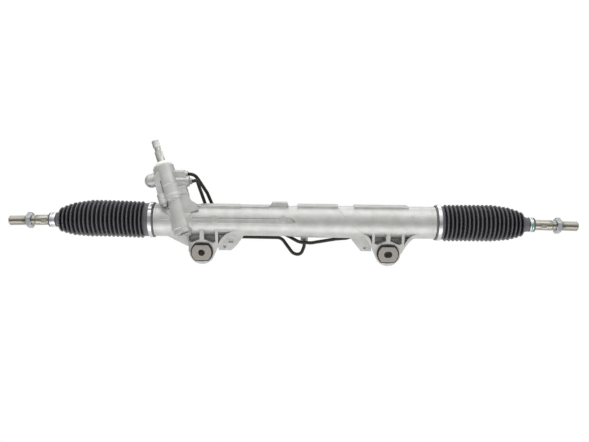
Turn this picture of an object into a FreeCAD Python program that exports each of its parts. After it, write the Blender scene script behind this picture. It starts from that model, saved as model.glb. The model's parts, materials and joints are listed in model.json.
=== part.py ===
import FreeCAD, Part
import math
import os
import re
from types import SimpleNamespace

import Sketcher
from FreeCAD import Placement, Rotation, Vector

# A hydraulic rack-and-pinion steering gear for a front axle, in millimetres.
# X runs along the rack to the right, Y to the back and Z up. The origin lies on the
# axis of the left mounting bush, midway along its length.

doc = FreeCAD.newDocument("SteeringRack")
sheet = doc.addObject("Spreadsheet::Sheet", "Sizes")

SIZES = {
    # Rack bar and its stroke
    "rack_travel": 75,
    "rack_radius": 14,
    "rack_half": 347,
    "rack_height": 54,
    "stop_clearance": 1,
    # Rack and pinion teeth
    "mesh_inset": 42,
    "tooth_module": 2,
    "pinion_teeth": 8,
    "pressure_angle": 25,
    "rack_addendum": 1.4,
    "pinion_addendum": 1.8,
    "tooth_clearance": 0.35,
    "tooth_backlash": 0.06,
    "pinion_offset": 17.5,
    "tooth_gaps": 25,
    "toothed_half": 84,
    # Lean of the pinion axis: to the left, and back from upright
    "pinion_lean": 19,
    "pinion_rake": 22,
    # Housing casting
    "stop_recess": 17,
    "boot_seat": 22,
    "boot_seat_radius": 28.5,
    "left_tube_radius": 30.5,
    "left_tube_length": 63,
    "middle_radius": 28,
    "cylinder_radius": 30,
    "shoulder_place": 11,
    "rack_bore": 16.5,
    "cylinder_bore": 22.5,
    "edge_chamfer": 1.5,
    # Cylinder parts on and round the rack
    "inner_seal_width": 20,
    "piston_width": 20,
    "piston_ring_width": 5,
    "piston_ring_depth": 3,
    "stopper_width": 20,
    "snap_ring_width": 2,
    "snap_ring_depth": 1.5,
    "running_fit": 0.06,
    "seat_fit": 0.03,
    # Pinion tower on the rack housing, measured along the pinion axis
    "tower_radius": 18,
    "tower_bottom": 30,
    "tower_top": 38.4,
    "flange_thickness": 4,
    "flange_radius": 22,
    "lug_radius": 7,
    "left_lug_side": -17,
    "left_lug_back": -17,
    "right_lug_side": 20,
    "right_lug_back": 20,
    "lug_height": 8,
    "valve_lug_height": 11,
    "tower_side": 30.5,
    "valve_wall_side": 23,
    "valve_wall_front": 17.5,
    "valve_slot_side": 10,
    "valve_slot_width": 2.6,
    "bolt_radius": 4,
    "bolt_head_radius": 6.5,
    "bolt_head_height": 6,
    "lower_bearing_radius": 9.5,
    "lower_bearing_length": 10,
    "upper_bearing_radius": 15,
    "upper_bearing_length": 11,
    "pinion_tooth_half": 14,
    "lower_journal_radius": 6,
    "upper_journal_radius": 8.5,
    "pinion_head_radius": 11,
    "pinion_head_top": 46,
    "end_cap_radius": 11.5,
    "end_cap_height": 4,
    "end_cap_recess": 0.5,
    "spot_face_radius": 13.5,
    # Valve housing, valve and input shaft
    "valve_radius": 19.6,
    "valve_lower_radius": 21.5,
    "valve_step": 62,
    "valve_top": 104,
    "valve_bore": 12.6,
    "sleeve_radius": 12.5,
    "sleeve_top": 91,
    "rotor_radius": 9,
    "shaft_radius": 7.5,
    "shaft_tip": 156,
    "shaft_neck_radius": 5.7,
    "shaft_neck_low": 134,
    "shaft_neck_high": 142,
    "torsion_bar_radius": 2.5,
    "torsion_bar_play": 0.3,
    "top_bearing_length": 7,
    "top_seal_length": 4,
    "dust_cover_height": 8,
    "dome_reach": 28,
    "dome_radius": 13,
    "dome_back": 4,
    "dome_height": 85,
    "hose_port_radius": 7,
    "feed_port_depth": 14,
    "return_port_depth": 11,
    "hose_boss_radius": 11,
    "hose_boss_reach": 32,
    # Rack guide behind the rack
    "guide_radius": 13,
    "guide_length": 15,
    "guide_boss_radius": 18,
    "guide_boss_reach": 43,
    "guide_plug_length": 11,
    "guide_nut_width": 38,
    "guide_nut_height": 6,
    "spring_radius": 7,
    # Mounting bushes
    "left_bush_inset": 85,
    "right_bush_inset": 81,
    "eye_radius": 23.5,
    "eye_half": 26,
    "bush_sleeve_radius": 18.5,
    "bush_sleeve_wall": 1.5,
    "insert_radius": 10,
    "bush_half": 33,
    "plate_radius": 18,
    "plate_flat": 14,
    "plate_thickness": 3.5,
    "rubber_disc_radius": 20.5,
    "rubber_disc_flat": 16.5,
    "bush_hole_radius": 6.1,
    "bush_slot_extra": 1.5,
    # Brackets under the tube
    "bracket_front": 26,
    "bracket_back": 12,
    "bracket_top": 10,
    "pocket_depth": 20,
    "pocket_width": 21,
    "pocket_low": 31,
    "bracket_rib": 8,
    "web_recess": 13,
    "web_flange": 5,
    "tab_thickness": 5,
    # Pressed-steel pipes
    "pipe_radius": 3.2,
    "pipe_bend": 16,
    "pipe_gap": 1.2,
    "pipe_fit": 0.4,
    "pipe_nut_width": 12,
    "pipe_nut_height": 7,
    "valve_nut_width": 10,
    "valve_nut_height": 5,
    "port_boss_radius": 7,
    "port_boss_height": 12,
    "port_stand": 3.5,
    "left_port_place": 19.5,
    "left_port_back": 6,
    "right_port_inset": 59,
    # Boots and their clamps
    "boot_ribs": 19,
    "boot_neck": 29,
    "boot_cone_length": 12.7,
    "boot_crest": 34,
    "boot_valley": 28.5,
    "boot_inner": 25,
    "boot_lip": 6.2,
    "boot_lip_radius": 32.5,
    "band_width": 6.4,
    "band_radius": 33.8,
    "band_wall": 1.47,
    "boot_cuff_radius": 12,
    "boot_cuff_start": 68,
    "boot_cuff_length": 14,
    "boot_clip_inset": 1,
    "clip_radius": 13.4,
    "clip_width": 11,
    # Ball joints, tie rods and their nuts
    "ball_reach": 25,
    "ball_radius": 14,
    "ball_seat_wall": 2,
    "ball_fit": 0.1,
    "ball_cuts": 6,
    "socket_radius": 20,
    "socket_mouth": 9,
    "seat_mouth": 6,
    "claw_washer_width": 1.5,
    "claw_washer_radius": 17.5,
    "stud_radius": 6,
    "stud_length": 14,
    "neck_radius": 6.5,
    "neck_end": 26,
    "rod_radius": 9.5,
    "rod_length": 163,
    "rod_shoulder": 92,
    "wrench_width": 16,
    "thread_start": 108,
    "thread_radius": 9,
    "thread_root_radius": 8.3,
    "thread_run_out": 4,
    "jam_nut_place": 113,
    "jam_nut_width": 27,
    "jam_nut_height": 14,
    "left_droop": 1.6,
    "right_droop": 1.25,
}

# Sizes that follow from the others
TIED = {
    "housing_half": "rack_half - rack_travel - stop_recess",
    "mesh_place": "housing_half - mesh_inset",
    "left_tube_end": "housing_half - left_tube_length",
    "left_bush_place": "housing_half - left_bush_inset",
    "right_bush_place": "housing_half - right_bush_inset",
    "right_port_place": "housing_half - right_port_inset",
    "piston_place": "(left_port_place + right_port_place) / 2",
    "ball_place": "rack_half + ball_reach",
    "boot_first_rib": "housing_half + boot_neck",
    "boot_cone_start": "ball_place + boot_cuff_start - boot_cone_length",
    "boot_pitch": "(boot_cone_start - 0.5 - boot_first_rib) / (boot_ribs - 0.5)",
}

for row, (word, value) in enumerate({**SIZES, **TIED}.items(), 1):
    sheet.set("A%d" % row, word)
    sheet.set("B%d" % row, "=%s" % value)
    sheet.setAlias("B%d" % row, word)
doc.recompute()
size = SimpleNamespace(**{word: float(sheet.get(word)) for word in (*SIZES, *TIED)})

FORWARD = Vector(1, 0, 0)
BACK = Vector(0, 1, 0)
UP = Vector(0, 0, 1)


# Sizes in an expression are written by their plain words
def bound(text):
    def cell(found):
        word = found.group()
        return "Sizes." + word if word in SIZES or word in TIED else word
    return re.sub(r"[a-z][a-z_]+", cell, text)


def turned(axis, angle):
    return Placement(Vector(0, 0, 0), Rotation(axis, angle))


def moved(x, y, z):
    return Placement(Vector(x, y, z), Rotation())


# A frame whose Z axis points along the given direction
def facing(point, direction):
    return Placement(Vector(*point), Rotation(UP, Vector(*direction)))


# Frames that the pieces are placed in: the rack axis, the pinion axis, and each end
# with X pointing out of the housing, on the rack axis or along the drooping tie rod
RACK = moved(size.left_bush_place, 0, size.rack_height)
rake = turned(FORWARD, -size.pinion_rake)
PINION_FOOT = rake.multVec(Vector(-size.mesh_place, -size.pinion_offset, 0))
TOWER = moved(*PINION_FOOT) * rake * turned(BACK, -size.pinion_lean)
GUIDE = moved(-size.mesh_place, 0, 0) * turned(FORWARD, -90 - size.pinion_rake)
END = {"left": turned(UP, 180), "right": Placement()}
DROOP = {"left": size.left_droop, "right": size.right_droop}
ROD = {
    side: END[side] * moved(size.ball_place, 0, 0) * turned(BACK, DROOP[side])
    for side in END
}
BUSH = {
    "left": moved(-size.left_bush_place, 0, -size.rack_height),
    "right": moved(size.right_bush_place, 0, -size.rack_height),
}

# Where the pinion's two bearings start, along the pinion axis
LOWER_BEARING = "-pinion_tooth_half - 1 - lower_bearing_length"
UPPER_BEARING = "pinion_tooth_half + 4"
CAP_TOP = "-tower_bottom + end_cap_recess + end_cap_height"

nodes = {}


# Every finished sub-part gets its label and its place in the part's own frame
def node(name, piece, place=Placement()):
    piece.Label = name
    piece.Placement = RACK * place
    nodes[name] = piece
    return piece


def solid(kind, name, place=Placement(), **expressions):
    piece = doc.addObject("Part::" + kind, name)
    for quantity, expression in expressions.items():
        piece.setExpression(quantity, bound(expression))
    piece.Placement = place
    return piece


def cylinder(name, radius, length, place=Placement()):
    return solid("Cylinder", name, place, Radius=radius, Height=length)


def block(name, length, width, height, place=Placement()):
    return solid("Box", name, place, Length=length, Width=width, Height=height)


def joined(name, pieces):
    whole = doc.addObject("Part::MultiFuse", name)
    whole.Shapes = pieces
    return whole


# The same, but added one after the other
def built_up(name, pieces):
    whole = pieces[0]
    for index, piece in enumerate(pieces[1:]):
        step = doc.addObject("Part::Fuse", "%s%d" % (name, index))
        step.Base = whole
        step.Tool = piece
        whole = step
    return whole


def cut(name, base, tool):
    rest = doc.addObject("Part::Cut", name)
    rest.Base = base
    rest.Tool = tool
    return rest


def common(name, pieces):
    rest = doc.addObject("Part::MultiCommon", name)
    rest.Shapes = pieces
    return rest


def plane_of(body, role):
    return [plane for plane in body.Origin.OriginFeatures if plane.Role == role][0]


# A closed outline whose every corner is tied to the sheet by its own two expressions
def bound_sketch(body, name, plane, corners):
    sketch = body.newObject("Sketcher::SketchObject", name)
    sketch.AttachmentSupport = [(plane_of(body, plane), "")]
    sketch.MapMode = "FlatFace"
    count = len(corners)
    rough = [Vector(index + 1, index * index + 1, 0) for index in range(count)]
    for index in range(count):
        sketch.addGeometry(Part.LineSegment(rough[index], rough[(index + 1) % count]))
    for index in range(count):
        following = (index + 1) % count
        sketch.addConstraint(Sketcher.Constraint("Coincident", index, 2, following, 1))
    for index, corner in enumerate(corners):
        for kind, expression in zip(("DistanceX", "DistanceY"), corner):
            tie = sketch.addConstraint(Sketcher.Constraint(kind, -1, 1, index, 1, 1.0))
            sketch.setExpression("Constraints[%d]" % tie, bound(expression))
    return sketch


# A turned piece: rows are (distance along the axis, radius). Its axis is the local X,
# or the local Z where it stands upright
def lathe(name, rows, upright=False):
    body = doc.addObject("PartDesign::Body", name)
    corners = [(radius, along) if upright else (along, radius) for along, radius in rows]
    sketch = bound_sketch(body, name + "Profile", "XZ_Plane", corners)
    turn = body.newObject("PartDesign::Revolution", name + "Turn")
    turn.Profile = sketch
    turn.ReferenceAxis = (sketch, ["V_Axis" if upright else "H_Axis"])
    turn.Angle = 360
    return body


def ring(name, inner, outer, start, end, upright=False):
    rows = [(start, inner), (start, outer), (end, outer), (end, inner)]
    return lathe(name, rows, upright)


# Edges through a row of (x, y) points, where ("via", x, y) bends a stretch into an arc
def outline_edges(points):
    places = [Vector(p[-2], p[-1], 0) for p in points]
    bends = [p[0] == "via" for p in points]
    edges = []
    index = 0
    while index < len(points):
        after = (index + 1) % len(points)
        if bends[after]:
            end = (index + 2) % len(points)
            edges.append(Part.Arc(places[index], places[after], places[end]))
            index += 2
        else:
            edges.append(Part.LineSegment(places[index], places[after]))
            index += 1
    return edges


# A plate whose outline lies in the X-Z plane, from front to back
def plate(name, points, front, back):
    sketch = doc.addObject("Sketcher::SketchObject", name + "Outline")
    sketch.addGeometry(outline_edges(points))
    sketch.Placement = moved(0, front, 0) * turned(FORWARD, 90)
    sheet_piece = doc.addObject("Part::Extrusion", name)
    sheet_piece.Base = sketch
    sheet_piece.DirMode = "Custom"
    sheet_piece.Dir = BACK
    sheet_piece.LengthFwd = back - front
    sheet_piece.Solid = True
    return sheet_piece


def hexagon(name, width, length, place=Placement()):
    piece = doc.addObject("Part::Prism", name)
    piece.Polygon = 6
    piece.setExpression("Circumradius", bound(width + " / 2 / cos(30deg)"))
    piece.setExpression("Height", bound(length))
    piece.Placement = place
    return piece


# The main tube of the casting: left end, slimmer middle and hydraulic cylinder
def tube_outside():
    ends = "housing_half"
    rows = [
        ("-%s - boot_seat" % ends, "0"),
        ("-%s - boot_seat" % ends, "boot_seat_radius - edge_chamfer"),
        ("-%s - boot_seat + edge_chamfer" % ends, "boot_seat_radius"),
        ("-%s" % ends, "boot_seat_radius"),
        ("-%s" % ends, "left_tube_radius"),
        ("-left_tube_end", "left_tube_radius"),
        ("-left_tube_end + 4", "middle_radius"),
        ("-shoulder_place", "middle_radius"),
        ("shoulder_place", "cylinder_radius"),
        (ends, "cylinder_radius"),
        (ends, "boot_seat_radius"),
        (ends + " + boot_seat - edge_chamfer", "boot_seat_radius"),
        (ends + " + boot_seat", "boot_seat_radius - edge_chamfer"),
        (ends + " + boot_seat", "0"),
    ]
    return lathe("TubeOutside", rows)


# The bore: socket mouth at the left, rack bore, cylinder, snap ring groove and mouth
def tube_bore():
    mouth = "-rack_half + rack_travel + stop_clearance"
    ring_end = "rack_half - rack_travel - 2 * stop_clearance"
    ring_start = ring_end + " - snap_ring_width"
    rows = [
        ("-housing_half - boot_seat - 1", "0"),
        ("-housing_half - boot_seat - 1", "cylinder_bore"),
        (mouth, "cylinder_bore"),
        (mouth, "rack_bore"),
        ("-inner_seal_width", "rack_bore"),
        ("-inner_seal_width", "cylinder_bore"),
        (ring_start, "cylinder_bore"),
        (ring_start, "cylinder_bore + snap_ring_depth"),
        (ring_end, "cylinder_bore + snap_ring_depth"),
        (ring_end, "cylinder_bore"),
        ("housing_half + boot_seat + 1", "cylinder_bore"),
        ("housing_half + boot_seat + 1", "0"),
    ]
    return lathe("TubeBore", rows)


# Flat cast strips and pads along the top of the tube, and the lifting lug
def top_pads():
    left = size.left_tube_end
    right = size.right_bush_place
    slim = size.middle_radius
    wide = size.cylinder_radius
    strips = [
        ("TopStripLeft", -left - 6, -left + 18, slim + 1.4, 10),
        ("TopPadLeft", -left + 18, -101, slim + 2, 12),
        ("TopStripMiddle", -101, -46, slim + 1.4, 10),
        ("TopPadCylinder", 6, 81, wide + 1.6, 12),
        ("TopPadRight", right - 63, right + 37, wide + 1.2, 12),
    ]
    pads = []
    for name, start, end, top, half in strips:
        pad = doc.addObject("Part::Box", name)
        pad.Length = end - start
        pad.Width = 2 * half
        pad.Height = top - size.rack_bore - 3
        pad.Placement = moved(start, -half, size.rack_bore + 3)
        pads.append(pad)
    lug = [(-48, slim - 3), (-40, slim + 8), (-14, slim + 8), (-9, slim - 3)]
    pads.append(plate("TopLug", lug, -6, 7))
    return pads


# Raised band with the parting groove on the front of the middle tube, and the two
# round ejector bosses that sit on it
BAND_TILT = turned(FORWARD, -11)
GROOVE_TILT = turned(FORWARD, -18.7)


def front_band():
    front = size.middle_radius + 1.5
    half = 4.4
    tip = -size.shoulder_place + 17
    outline = [
        (-size.left_tube_end + 2, -half),
        (-size.left_tube_end + 2, half),
        (tip - 8, half),
        (tip, 0),
        (tip - 8, -half),
    ]
    band = plate("FrontBand", outline, -front, -front + 10)
    band.Placement = BAND_TILT * band.Placement
    pieces = [band]
    for name, place in (("LeftBoss", -size.left_tube_end + 46.6), ("RightBoss", -19.8)):
        reach = size.middle_radius + 1.8
        boss = cylinder("Band" + name, "7", "10")
        boss.Placement = moved(place, 0, 0) * GROOVE_TILT * moved(0, -reach, 0) * turned(FORWARD, -90)
        pieces.append(boss)
    return pieces


def band_groove():
    front = size.middle_radius + 1.6
    half = 0.9
    end = -size.shoulder_place + 14
    outline = [
        (-size.left_tube_end + 4, -half),
        (-size.left_tube_end + 4, half),
        (end - 6, half),
        (end, -5.5),
        (end - 3, -5.5),
        (end - 8, -half),
    ]
    groove = plate("BandGroove", outline, -front, -front + 3)
    groove.Placement = GROOVE_TILT * groove.Placement
    return groove


# One bracket: a thick concave plate, pocketed from the front beside a centre rib,
# with the round eye for the bush
def bracket(side, left_reach, right_reach):
    place = -size.left_bush_place if side == "left" else size.right_bush_place
    foot = -size.rack_height
    top = -size.bracket_top
    hip = size.eye_radius + 1.5
    name = side.capitalize()
    points = [
        (place - left_reach, top),
        ("via", place - (left_reach + hip) / 2 + 4, (top + foot) / 2 + 3),
        (place - hip, foot),
        (place + hip, foot),
        ("via", place + (right_reach + hip) / 2 - 4, (top + foot) / 2 + 3),
        (place + right_reach, top),
    ]
    body = plate(name + "BracketPlate", points, -size.bracket_front, size.bracket_back)
    pockets = []
    half_rib = size.bracket_rib / 2
    for sign in (-1, 1):
        inner = place + sign * half_rib
        outer = inner + sign * size.pocket_width
        low_inner = -size.pocket_low
        corners = [
            (inner, 0),
            (outer - sign * 1, 0),
            (outer, low_inner - 4),
            (outer - sign * 5, low_inner - 6),
            (inner, low_inner),
        ]
        depth = -size.bracket_front + size.pocket_depth
        pocket = plate(name + "Pocket", corners, -size.bracket_front - 1, depth)
        pockets.append(pocket)
    rim = size.web_flange
    depth = -size.bracket_front + size.web_recess
    for sign, reach in ((-1, left_reach), (1, right_reach)):
        inner = half_rib + size.pocket_width + rim
        if reach < inner + 4 * rim:
            continue
        middle = (reach + hip) / 2 - 4
        corners = [
            (place + sign * inner, top - rim),
            (place + sign * (reach - 2.5 * rim), top - rim),
            ("via", place + sign * (middle - rim - 1), (top + foot) / 2 + 5),
            (place + sign * inner, foot + 3 * rim),
        ]
        pockets.append(plate(name + "WebRecess", corners, -size.bracket_front - 1, depth))
    hollow = cut(name + "BracketHollow", body, joined(name + "Pockets", pockets))
    eye = cylinder(
        name + "Eye",
        "eye_radius",
        "2 * eye_half",
        moved(place, -size.eye_half, foot) * turned(FORWARD, -90),
    )
    return [hollow, eye]


# Thin cast tabs that carry the pipe clips, beside each bracket, with blind recesses
TAB_FRONT = -2
TAB_BLIND = 3


def left_tab():
    left = -size.left_bush_place
    points = [
        (left + 28, -24),
        (left + 28, -57),
        (left + 52, -57),
        ("via", left + 64, -45),
        (left + 77, -24),
    ]
    tab = plate("LeftTab", points, TAB_FRONT, TAB_FRONT + size.tab_thickness)
    window = [(left + 47.5, -34), (left + 47.5, -42), (left + 56, -42), (left + 56, -34)]
    recess = plate("LeftTabWindow", window, TAB_FRONT - 1, TAB_FRONT + TAB_BLIND)
    place = facing((left + 39.5, TAB_FRONT - 1, -49), (0, 1, 0))
    hole = cylinder("LeftTabHole", "2.8", str(TAB_BLIND + 1), place)
    return cut("LeftTabCut", tab, joined("LeftTabOpenings", [recess, hole]))


def right_tab():
    left = size.right_bush_place - 73
    points = [(left, -24), (left + 25, -56), (left + 45, -56), (left + 45, -24)]
    tab = plate("RightTab", points, TAB_FRONT, TAB_FRONT + size.tab_thickness)
    place = facing((left + 32.5, TAB_FRONT - 1, -49), (0, 1, 0))
    hole = cylinder("RightTabHole", "2.4", str(TAB_BLIND + 1), place)
    return cut("RightTabCut", tab, hole)


# The pinion tower that leans over the tube, with its flange, bolt lugs and webs
def tower_outside():
    rows = [
        ("-tower_bottom", "0"),
        ("-tower_bottom", "tower_radius - 1"),
        ("-tower_bottom + 9", "tower_radius - 1"),
        ("-tower_bottom + 10", "tower_radius"),
        ("tower_top - flange_thickness - 2", "tower_radius"),
        ("tower_top - flange_thickness", "flange_radius"),
        ("tower_top", "flange_radius"),
        ("tower_top", "0"),
    ]
    tower = lathe("TowerTurned", rows, upright=True)
    tower.Placement = TOWER
    lugs = bolt_lugs("Tower", size.tower_top - size.lug_height, size.tower_top)
    top = size.tower_top
    side = size.tower_side
    gusset = [
        (0, top),
        (side, top),
        (side, top - 8),
        (side + 2.5, top - 16),
        (side + 9.5, top - 24),
        (side + 9.5, top - 36),
        (0, top - 36),
    ]
    left_side = size.valve_wall_side
    left_wall = [
        (0, top),
        (-left_side, top),
        (-left_side, top - 5),
        (-left_side + 5, top - 20),
        (-left_side + 9, top - 30),
        (0, top - 30),
    ]
    webs = [plate("TowerGusset", gusset, -12, 4), plate("TowerLeftWall", left_wall, -15, 4)]
    for web in webs:
        web.Placement = TOWER * web.Placement
    return [tower] + webs + lugs


# Two bolt lugs: the screw at the front left goes in from below, the one behind at the
# right from above. Each row: place across the pinion axis, and whether its head is above
BOLTS = (
    (size.left_lug_side, size.left_lug_back, False),
    (size.right_lug_side, size.right_lug_back, True),
)


def lug_frame(lug):
    return TOWER * moved(lug[0], lug[1], 0)


def bolt_lugs(name, start, end):
    lugs = []
    for bolt in BOLTS:
        lug = cylinder(name + "Lug", "lug_radius", str(end - start))
        lug.Placement = lug_frame(bolt) * moved(0, 0, start)
        lugs.append(lug)
    return lugs


def bolt_holes(name):
    holes = []
    for bolt in BOLTS:
        start = size.tower_top - size.lug_height + (0.5 if bolt[2] else -1)
        length = "lug_height + valve_lug_height + 0.5" if bolt[2] else "lug_height + valve_lug_height"
        hole = cylinder(name + "BoltHole", "bolt_radius + seat_fit", length)
        hole.Placement = lug_frame(bolt) * moved(0, 0, start)
        holes.append(hole)
    return holes


# Room under the front lug for the head of its screw
def head_room():
    length = 2 * size.bolt_head_height
    room = cylinder("TowerHeadRoom", "bolt_head_radius + 0.8", "2 * bolt_head_height")
    room.Placement = lug_frame(BOLTS[0]) * moved(0, 0, size.tower_top - size.lug_height - length)
    return room


def tower_bore():
    chamber = "tooth_module * pinion_teeth / 2 + pinion_addendum + 0.6"
    rows = [
        ("-tower_bottom - 1", "0"),
        ("-tower_bottom - 1", "end_cap_radius + seat_fit"),
        (CAP_TOP, "end_cap_radius + seat_fit"),
        (CAP_TOP, "lower_bearing_radius"),
        ("-pinion_tooth_half - 1", "lower_bearing_radius"),
        ("-pinion_tooth_half - 1", chamber),
        (UPPER_BEARING, chamber),
        (UPPER_BEARING, "upper_bearing_radius"),
        ("tower_top + 1", "upper_bearing_radius"),
        ("tower_top + 1", "0"),
    ]
    bore = lathe("TowerBore", rows, upright=True)
    bore.Placement = TOWER
    return bore


def guide_boss():
    boss = cylinder("GuideBoss", "guide_boss_radius", "guide_boss_reach", GUIDE)
    return boss


def guide_bore():
    place = GUIDE * moved(0, 0, 2)
    return cylinder("GuideBore", "guide_radius + running_fit", "guide_boss_reach", place)


def port_boss(name, place, radius, reach, direction):
    return cylinder(name, radius, reach, facing(place, direction))


# Ports of the two cylinder chambers: the outer end of the port, and the way in
CHAMBER_PORTS = {
    "LeftPort": (
        (size.left_port_place, size.left_port_back, -size.cylinder_radius - size.port_stand),
        (0, 0, 1),
    ),
    "RightPort": (
        (size.right_port_place, size.cylinder_radius + size.port_stand, 0),
        (0, -1, 0),
    ),
}


def rack_housing():
    left = -size.left_bush_place
    web_points = [
        (left - 70, -20),
        (left - 70, -31),
        (left - 33, -50),
        (left - 20, -54),
        (left - 16, -20),
    ]
    outside = [joined("TubeAndPads", [tube_outside(), *top_pads()])]
    outside.append(joined("BandAndBosses", front_band()))
    outside.append(joined("LeftBracket", bracket("left", 40, 69)))
    outside.append(joined("RightBracket", bracket("right", 61, 66)))
    outside.append(joined("Tabs", [left_tab(), right_tab(), plate("LeftWeb", web_points, 2, 9)]))
    outside.append(joined("Tower", tower_outside()))
    outside.append(guide_boss())
    for name, (port, direction) in CHAMBER_PORTS.items():
        boss = port_boss(name + "Boss", port, "port_boss_radius", "port_boss_height", direction)
        outside.append(boss)
    hollow = [tube_bore(), tower_bore(), guide_bore(), band_groove()]
    hollow += [*bolt_holes("Tower"), head_room()]
    spot_face = cylinder("TowerSpotFace", "spot_face_radius", "40")
    spot_face.Placement = TOWER * moved(0, 0, -size.tower_bottom - 40)
    hollow.append(spot_face)
    for name, (port, direction) in CHAMBER_PORTS.items():
        bore_length = "port_boss_height + 2"
        hollow.append(port_boss(name, port, "pipe_radius + seat_fit", bore_length, direction))
    for side in ("left", "right"):
        place = BUSH[side] * moved(0, -size.eye_half - 1, 0) * turned(FORWARD, -90)
        radius = "bush_sleeve_radius + seat_fit"
        hollow.append(cylinder(side.capitalize() + "EyeBore", radius, "2 * eye_half + 2", place))
    casting = built_up("HousingOutside", outside)
    return cut("RackHousing", casting, joined("HousingHollow", hollow))


node("rack_housing", rack_housing())


# Valve housing: bolted on the tower, with the two pipe ports at its right, a domed
# boss at its left and the hose ports behind
def valve_housing():
    rows = [
        ("tower_top", "0"),
        ("tower_top", "flange_radius"),
        ("tower_top + flange_thickness", "flange_radius"),
        ("tower_top + flange_thickness + 3", "valve_lower_radius"),
        ("valve_step", "valve_lower_radius"),
        ("valve_step + 2", "valve_radius"),
        ("valve_top - 2.5", "valve_radius"),
        ("valve_top", "valve_radius - 2.5"),
        ("valve_top", "0"),
    ]
    turned_body = lathe("ValveTurned", rows, upright=True)
    turned_body.Placement = TOWER
    pieces = [turned_body]
    pieces += bolt_lugs("Valve", size.tower_top, size.tower_top + size.valve_lug_height)
    side = size.valve_wall_side
    wall = [
        (-side, size.tower_top),
        (0, size.tower_top),
        (0, size.valve_top - 12),
        (-size.valve_slot_side - 2, size.valve_top - 12),
        (-side + 3, size.dome_height),
    ]
    front = size.valve_wall_front
    right_wall = [
        (0, size.tower_top),
        (size.tower_side, size.tower_top),
        (size.tower_side, size.valve_step - 8),
        (0, size.valve_step - 8),
    ]
    walls = [plate("ValveWall", wall, -front, 1), plate("ValveRightWall", right_wall, -13, 12)]
    for piece in walls:
        piece.Placement = TOWER * piece.Placement
    pieces += walls
    dome_place = TOWER * moved(0, size.dome_back, size.dome_height) * turned(BACK, -90)
    pieces.append(cylinder("DomeStem", "dome_radius", "dome_reach", dome_place))
    dome = solid("Sphere", "Dome", dome_place * moved(0, 0, size.dome_reach), Radius="dome_radius")
    pieces.append(dome)
    for name, (port, radius) in PIPE_PORTS.items():
        stem = port_boss(name + "Boss", port, radius, str(PORT_STEM), (-1, 0, 0))
        pieces.append(stem)
    low = PIPE_PORTS["LowerPipePort"][0]
    lower_block = [
        (low[0] - PORT_STEM, low[2] - 12.5),
        (low[0] - 8, low[2] - 12.5),
        (low[0] - 2, low[2] - 9.5),
        (low[0] - 2, low[2]),
        (low[0] - PORT_STEM, low[2]),
    ]
    upper_block = [
        (low[0] - PORT_STEM, low[2]),
        (low[0] - 5, low[2]),
        (low[0] - 5, low[2] + 13.5),
        (low[0] - 10, low[2] + 19),
        (low[0] - PORT_STEM, low[2] + 19),
    ]
    pieces.append(plate("LowerPortBlock", lower_block, low[1] - 14, low[1] + 12))
    pieces.append(plate("UpperPortBlock", upper_block, low[1] - 6, low[1] + 14))
    for name, (height, _) in HOSE_PORTS.items():
        place = TOWER * moved(0, 0, height) * turned(FORWARD, -90)
        pieces.append(cylinder(name + "Boss", "hose_boss_radius", "hose_boss_reach", place))
    hollow = []
    bore_rows = [
        ("tower_top - 1", "0"),
        ("tower_top - 1", "valve_bore"),
        ("valve_top + 1", "valve_bore"),
        ("valve_top + 1", "0"),
    ]
    bore = lathe("ValveBore", bore_rows, upright=True)
    bore.Placement = TOWER
    hollow.append(bore)
    hollow += bolt_holes("Valve")
    slot_left = -size.valve_slot_side - size.valve_slot_width / 2
    slot_foot = size.tower_top + size.valve_lug_height + 1
    slot = [
        (slot_left, slot_foot),
        (slot_left + size.valve_slot_width, slot_foot),
        (slot_left + size.valve_slot_width, size.valve_step + 12),
        (slot_left, size.valve_step + 12),
    ]
    slot_piece = plate("ValveSlot", slot, -size.valve_lower_radius - 3, -14)
    slot_piece.Placement = TOWER * slot_piece.Placement
    hollow.append(slot_piece)
    for name, (height, depth) in HOSE_PORTS.items():
        start = size.hose_boss_reach - getattr(size, depth)
        place = TOWER * moved(0, 0, height) * turned(FORWARD, -90) * moved(0, 0, start)
        hollow.append(cylinder(name, "hose_port_radius", depth + " + 1", place))
    for name, (port, _) in PIPE_PORTS.items():
        port_radius = "pipe_radius + seat_fit"
        hollow.append(port_boss(name + "Hole", port, port_radius, str(PORT_DEPTH), (-1, 0, 0)))
    return cut("ValveHousing", built_up("ValveOutside", pieces), joined("ValveHollow", hollow))


# Each pipe port, from a point on the pinion axis: end point on the casting and boss radius
port_root = TOWER.multVec(Vector(0, 0, 75))
PORT_STEM = 30
PORT_DEPTH = 12
PIPE_PORTS = {
    "LowerPipePort": ((port_root.x + 41.4, port_root.y - 0.3, port_root.z - 0.3), "9.5"),
    "UpperPipePort": ((port_root.x + 37.4, port_root.y + 8.7, port_root.z + 11.7), "6.4"),
}
HOSE_PORTS = {
    "FeedPort": (86, "feed_port_depth"),
    "ReturnPort": (58, "return_port_depth"),
}

node("valve_housing", valve_housing())


# Two screws that hold the valve housing
def valve_bolts():
    parts = []
    for bolt in BOLTS:
        low = size.tower_top - size.lug_height
        high = size.tower_top + size.valve_lug_height
        shank = cylinder("BoltShank", "bolt_radius", "lug_height + valve_lug_height - 2")
        shank.Placement = lug_frame(bolt) * moved(0, 0, low + 2 if bolt[2] else low)
        head = hexagon("BoltHead", "2 * bolt_head_radius * cos(30deg)", "bolt_head_height")
        head_foot = high if bolt[2] else low - size.bolt_head_height
        head.Placement = lug_frame(bolt) * moved(0, 0, head_foot) * turned(UP, 30)
        parts.append(joined("ValveBolt", [shank, head]))
    return joined("ValveBolts", parts)


node("valve_housing_bolts", valve_bolts())

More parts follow.
